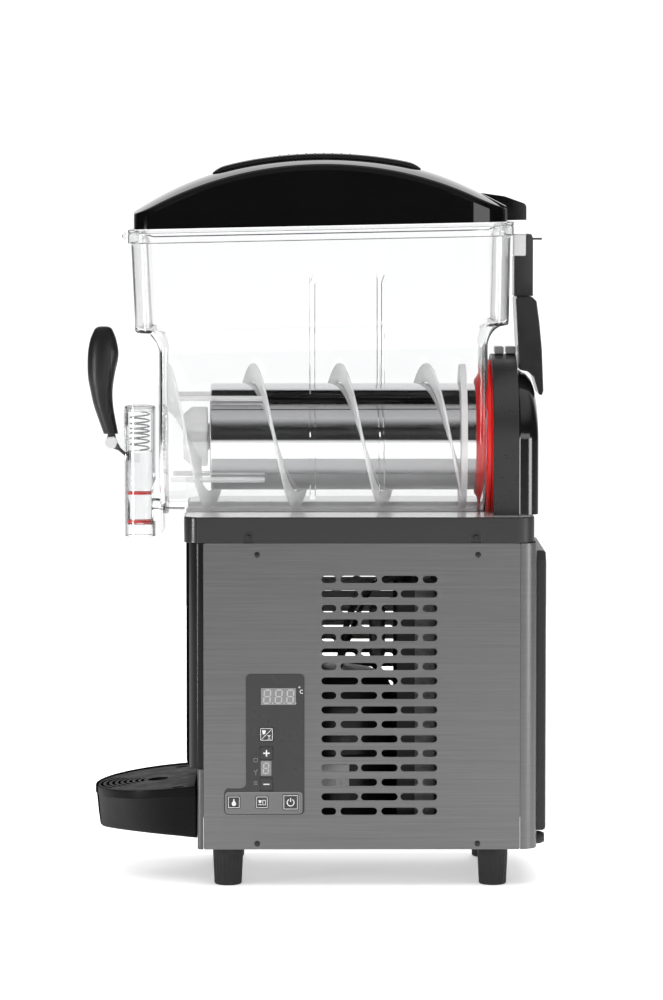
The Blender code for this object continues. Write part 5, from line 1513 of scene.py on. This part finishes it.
def build_lever():
    """The steel bar below the grip; its round tip reaches into the plunger's notch."""
    steel = metal("lever_steel", grey(108), 0.3, 0.12, 160.0)
    reach = Vector((TIP_Y - PIVOT_Y, TIP_Z - PIVOT_Z))
    lean = math.degrees(math.atan2(reach.y, reach.x))
    along = reach.normalized()
    across = Vector((-along.y, along.x))
    neck = Vector((PIVOT_Y, PIVOT_Z)) + along * 12
    outline = [(PIVOT_Y + 4.0, 501.8), (PIVOT_Y - 4.5, 501.8)]
    outline += arc(PIVOT_Y, PIVOT_Z, 6.2, 150, 270, 16)
    outline += [tuple(neck - across * 1.8)]
    outline += arc(TIP_Y, TIP_Z, TIP_R, lean - 90, lean + 90, 12)
    outline += [tuple(neck + across * 1.8)]
    outline += arc(PIVOT_Y, PIVOT_Z, 6.2, lean + 50, 40, 8)
    bm = prism(outline, "x", -2.5, 2.5, [arc(PIVOT_Y, PIVOT_Z, PIVOT_BORE_R, 0, 345, 23)])
    piece("lever_bar", bm, steel, "tap_handle", ["tap_lever"], bevel=0.3)


def build_plunger():
    mat = clear("plunger_clear", (0.955, 0.957, 0.96), 0.05, 1.45, 0.9, 0.0002, 0.5)
    groove_r, groove_half = GROOVE_R, RING_HEIGHT / 2 + GAP
    profile = [(0, PLUNGER_BOTTOM), (PLUNGER_R - 1, PLUNGER_BOTTOM), (PLUNGER_R, PLUNGER_BOTTOM + 1)]
    for z in RING_Z:
        profile += [(PLUNGER_R, z - groove_half), (groove_r, z - groove_half),
                    (groove_r, z + groove_half), (PLUNGER_R, z + groove_half)]
    profile += [(PLUNGER_R, PLUNGER_TOP - 0.6), (PLUNGER_R - 0.6, PLUNGER_TOP), (0, PLUNGER_TOP)]
    bm = lathe(profile, "z", 0, TAP_Y, 90)
    notch = bmesh.new()
    add_box(notch, -3.2, 3.2, -220, -200.3, 470.6, 479.4)
    bm = joined(bm, [(notch, "DIFFERENCE")])
    piece("plunger_body", bm, mat, "tap_valve", ["tap_plunger"], smooth=28)


def build_valve_rings():
    red = plastic("ring_red", (0.75, 0.02, 0.012), 0.3, 0.08, 900.0, 0.00001, specular=0.6)
    inner, outer, half = GROOVE_R + GAP, TAP_BORE_R - GAP, RING_HEIGHT / 2
    mid, half_w = (inner + outer) / 2, (outer - inner) / 2
    for name, z in zip(("valve_ring_lower", "valve_ring_upper"), RING_Z):
        profile = [(mid + half_w * math.cos(a), z + half * math.sin(a))
                   for a in (2 * math.pi * k / 14 for k in range(14))]
        bm = lathe(profile, "z", 0, TAP_Y, 90, closed=True)
        piece(name + "_seal", bm, red, "tap_valve", [name], smooth=60)


def build_spring():
    """A coil of wire from above the plunger to below the tap's top, with a mesh of its own."""
    steel = metal("spring_steel", grey(190), 0.22, 0.06, 300.0)
    wire, coil_r, turns, per_turn = 0.9, 10.6, 6.5, 40
    low, high = PLUNGER_TOP + GAP + wire, TAP_TOP - 4 - wire
    count = round(turns * per_turn)
    points = []
    for k in range(count + 1):
        a = 2 * math.pi * k / per_turn
        t = k / count
        rise = t + 0.035 * math.sin(2 * math.pi * t)
        points.append((coil_r * math.cos(a), TAP_Y + coil_r * math.sin(a), low + (high - low) * rise))
    spring = tube("spring_coil", points, wire, steel, "bowl", ["tap_spring"], 12)
    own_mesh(spring)


# ---------------------------------------------------------------- drip tray
def tray_plan(inset, rear_inset=0.0):
    half = TRAY_HALF - inset
    deep = TRAY_STRAIGHT_Y - TRAY_TIP - inset
    front = arc(0, TRAY_STRAIGHT_Y, half, 0, -180, 72, deep / half)
    rear = TRAY_REAR - rear_inset
    return [(half - 2, rear), (half, rear - 2)] + front + [(-half, rear - 2), (2 - half, rear)]


def tray_slope(bm):
    """The rim falls toward the tip and the walls below it draw in toward the front."""
    for v in bm.verts:
        y, z = v.co.y, v.co.z
        along = max(0.0, (TRAY_REAR - y) / (TRAY_REAR - TRAY_TIP))
        height = (z - TRAY_BOTTOM) / (TRAY_TOP - TRAY_BOTTOM)
        under = min(1.0, max(0.0, (TRAY_TOP - 12.0 - z) / (TRAY_TOP - 12.0 - TRAY_BOTTOM)))
        v.co.x *= 1.0 - TRAY_DRAW * under * along ** 0.8
        v.co.z += (3.0 - 11.0 * along) * height


def build_drip_tray():
    satin = plastic("tray_satin", grey(11), 0.3, 0.12, 1200.0, 0.00002, wear=0.12, specular=0.1,
                    dim=True)
    bm = bmesh.new()
    levels = ((TRAY_BOTTOM, 8.2), (TRAY_BOTTOM + 0.8, 6.9), (TRAY_BOTTOM + 3, 5.2),
              (TRAY_BOTTOM + 20, 3.2), (TRAY_TOP - 11, 1.1), (TRAY_TOP - 10.4, 0.2),
              (TRAY_TOP - 9.8, 0.0), (TRAY_TOP - 1.2, 0.0), (TRAY_TOP - 0.35, 0.3), (TRAY_TOP, 0.9),
              (TRAY_TOP, 1.8), (TRAY_TOP - 0.4, 2.2), (LEDGE_Z, 2.6), (LEDGE_Z, 6.0),
              (TRAY_BOTTOM + 3, 9.0))
    add_loft(bm, [plan_ring(tray_plan(inset, 0.0 if k < 10 else 2.6), z)
                  for k, (z, inset) in enumerate(levels)])
    tray_slope(bm)
    piece("tray_pan", bm, satin, "drip_tray", ["drip_tray"], smooth=30)


def build_grid():
    grid_mat = plastic("grid_satin", grey(22), 0.55, 0.12, 1200.0, 0.00002, wear=0.3,
                       specular=0.12)
    drain_y, slot_half = -180.0, 1.8
    holes = [arc(0, drain_y, 12.0, 0, 350, 35)]
    for k in range(8):
        radius = 18.5 + 6.6 * k
        holes.append(arc(0, drain_y, radius + slot_half, -128, -52, 20)
                     + arc(0, drain_y, radius - slot_half, -52, -128, 20))
    for side in (-1, 1):
        holes.append(arc(side * 80, -155.0, 5.0, 0, 345, 23, 1.5))
    bm = bmesh.new()
    z = LEDGE_Z + GAP
    add_prism(bm, tray_plan(3.2, 3.2), "z", z, z + 3.5, holes)
    tray_slope(bm)
    piece("grid_plate", bm, grid_mat, "drip_grid", ["drip_grid"], bevel=0.6,
          segments=3)


# ---------------------------------------------------------------- inside the cabinet
def finish_inner_nodes():
    materials = {
        "base_pan": metal("pan_galvanised", grey(120), 0.45, 0.25, 60.0),
        "control_board": plastic("board_green", (0.02, 0.09, 0.04), 0.5, 0.25, 600.0),
        "shaft_bush": plastic("bush_white", grey(220), 0.4),
        "gear_motor": metal("motor_cast", grey(120), 0.5, 0.2, 90.0),
        "drive_shaft": metal("shaft_steel", grey(190), 0.25, 0.05, 200.0),
        "filter_drier": plastic("drier_black", grey(30), 0.4, 0.2, 500.0, 0.00003, 0.2),
        "suction_pipe": plastic("pipe_sleeve", grey(34), 0.6, 0.2, 900.0),
        "discharge_pipe": metal("pipe_steel", grey(150), 0.35, 0.2, 60.0),
        "fan": plastic("fan_black", grey(34), 0.45, 0.15, 900.0),
        "fan_shroud": metal("shroud_galvanised", grey(120), 0.45, 0.25, 60.0),
        "fan_motor": metal("fan_motor_dark", grey(60), 0.5, 0.2, 90.0),
        "cable_gland": plastic("gland_black", grey(26), 0.5, 0.12, 1200.0, 0.00003, 0.2),
    }
    for node, mat in materials.items():
        finish_node(node, mat)


def build_compressor():
    lo, hi = (Vector(v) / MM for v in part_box("compressor"))
    x, y, r, base = (lo.x + hi.x) / 2, (lo.y + hi.y) / 2, COMPRESSOR_R, lo.z
    black = plastic("compressor_black", grey(22), 0.32, 0.2, 700.0, 0.00003, 0.2)
    profile = [(0, 0), (r - 6, 0), (r - 6, 6), (r - 4.5, 9.5), (r, 14), (r, 85.4), (r + 1, 86.6),
               (r + 3, 88), (r + 3, 94), (r + 1, 95.4), (r, 96.6), (r, 146), (r - 0.8, 156),
               (r - 3, 165), (r - 7, 173), (r - 14, 181), (r - 26, 187.4), (r - 44, 191), (0, 192)]
    bm = lathe([(u, base + v) for u, v in profile], "z", x, y, 96)
    piece("compressor_can", bm, black, "cabinet", ["compressor"], bevel=0.3)
    return x, y


def condenser_fins_painted_light_and_shade():
    """Painted shade on the fins, near black, and painted light on the paler part nearest the fan."""
    mat, nt, shader = new_material("condenser_fins_painted_light_and_shade")
    coords = nt.nodes.new("ShaderNodeTexCoord").outputs["Object"]
    split = nt.nodes.new("ShaderNodeSeparateXYZ")
    nt.links.new(coords, split.inputs[0])
    # Painted light and shade: a band along Y, dark in front as if shaded, pale nearest the fan as if
    # lit.
    band = spread(nt, split.outputs["Y"], 0.0, 1.0, 0.1115, 0.1125)
    cloud = noise(nt, coords, 70.0, 5.0, 0.6)
    dark = blend_colours(nt, spread(nt, cloud, 0, 1), grey(20), grey(30))
    pale = blend_colours(nt, spread(nt, cloud, 0, 1), grey(70), grey(104))
    nt.links.new(blend_colours(nt, band, dark, pale), shader.inputs["Base Color"])
    nt.links.new(spread(nt, cloud, 0.38, 0.6), shader.inputs["Roughness"])
    add_bump(nt, shader, cloud, 0.00005, 0.5)
    return mat


def build_condenser():
    """A comb of thin fins joined along the front, between two end plates."""
    lo, hi = (Vector(v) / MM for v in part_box("condenser"))
    front, core, back = lo.y - 4.0, lo.y + 1.5, hi.y - 8
    plate, fins, half_fin = 2.0, 48, 0.4
    pitch = (hi.x - lo.x - 2 * plate) / fins
    comb = [(lo.x, hi.y), (lo.x, front), (lo.x + plate, front), (lo.x + plate, back)]
    for k in range(1, fins):
        x = lo.x + plate + k * pitch
        comb += [(x - half_fin, back), (x - half_fin, core), (x + half_fin, core),
                 (x + half_fin, back)]
    comb += [(hi.x - plate, back), (hi.x - plate, front), (hi.x, front), (hi.x, hi.y)]
    bm = prism(comb, "z", lo.z, hi.z)
    piece("condenser_block", bm, condenser_fins_painted_light_and_shade(), "cabinet", ["condenser"])


def build_label(x, y):
    """A blank paper label on the compressor, whose axis is at x, y."""
    paper = plastic("label_blank", grey(228), 0.6, 0.03, 900.0)
    start, sweep, steps = -18, 29, 14
    inside = COMPRESSOR_R + 0.1
    rings = []
    for z, thick in ((106.0, 0.17), (108.0, 0.3), (130.0, 0.3), (132.0, 0.17)):
        outer = arc(x, y, inside + thick, start, start + sweep, steps)
        inner = arc(x, y, inside, start + sweep, start, steps)
        rings.append(plan_ring(outer + inner, z))
    bm = loft(rings)
    piece("compressor_label", bm, paper, "cabinet")


place_camera()
build_world()
build_lights()
build_floor()
build_side_panels()
build_front()
build_apron()
build_rear_panel()
build_rear_duct()
build_deck()
build_feet()
build_screws()
build_controls()
build_drum()
build_gasket()
build_auger()
build_rear_housing()
build_bowl_rests()
build_arm()
build_bowl()
build_lid()
build_tap()
build_handle()
build_lever()
build_plunger()
build_valve_rings()
build_spring()
build_drip_tray()
build_grid()
finish_inner_nodes()
COMPRESSOR_X, COMPRESSOR_Y = build_compressor()
build_condenser()
build_label(COMPRESSOR_X, COMPRESSOR_Y)

bpy.context.view_layer.update()
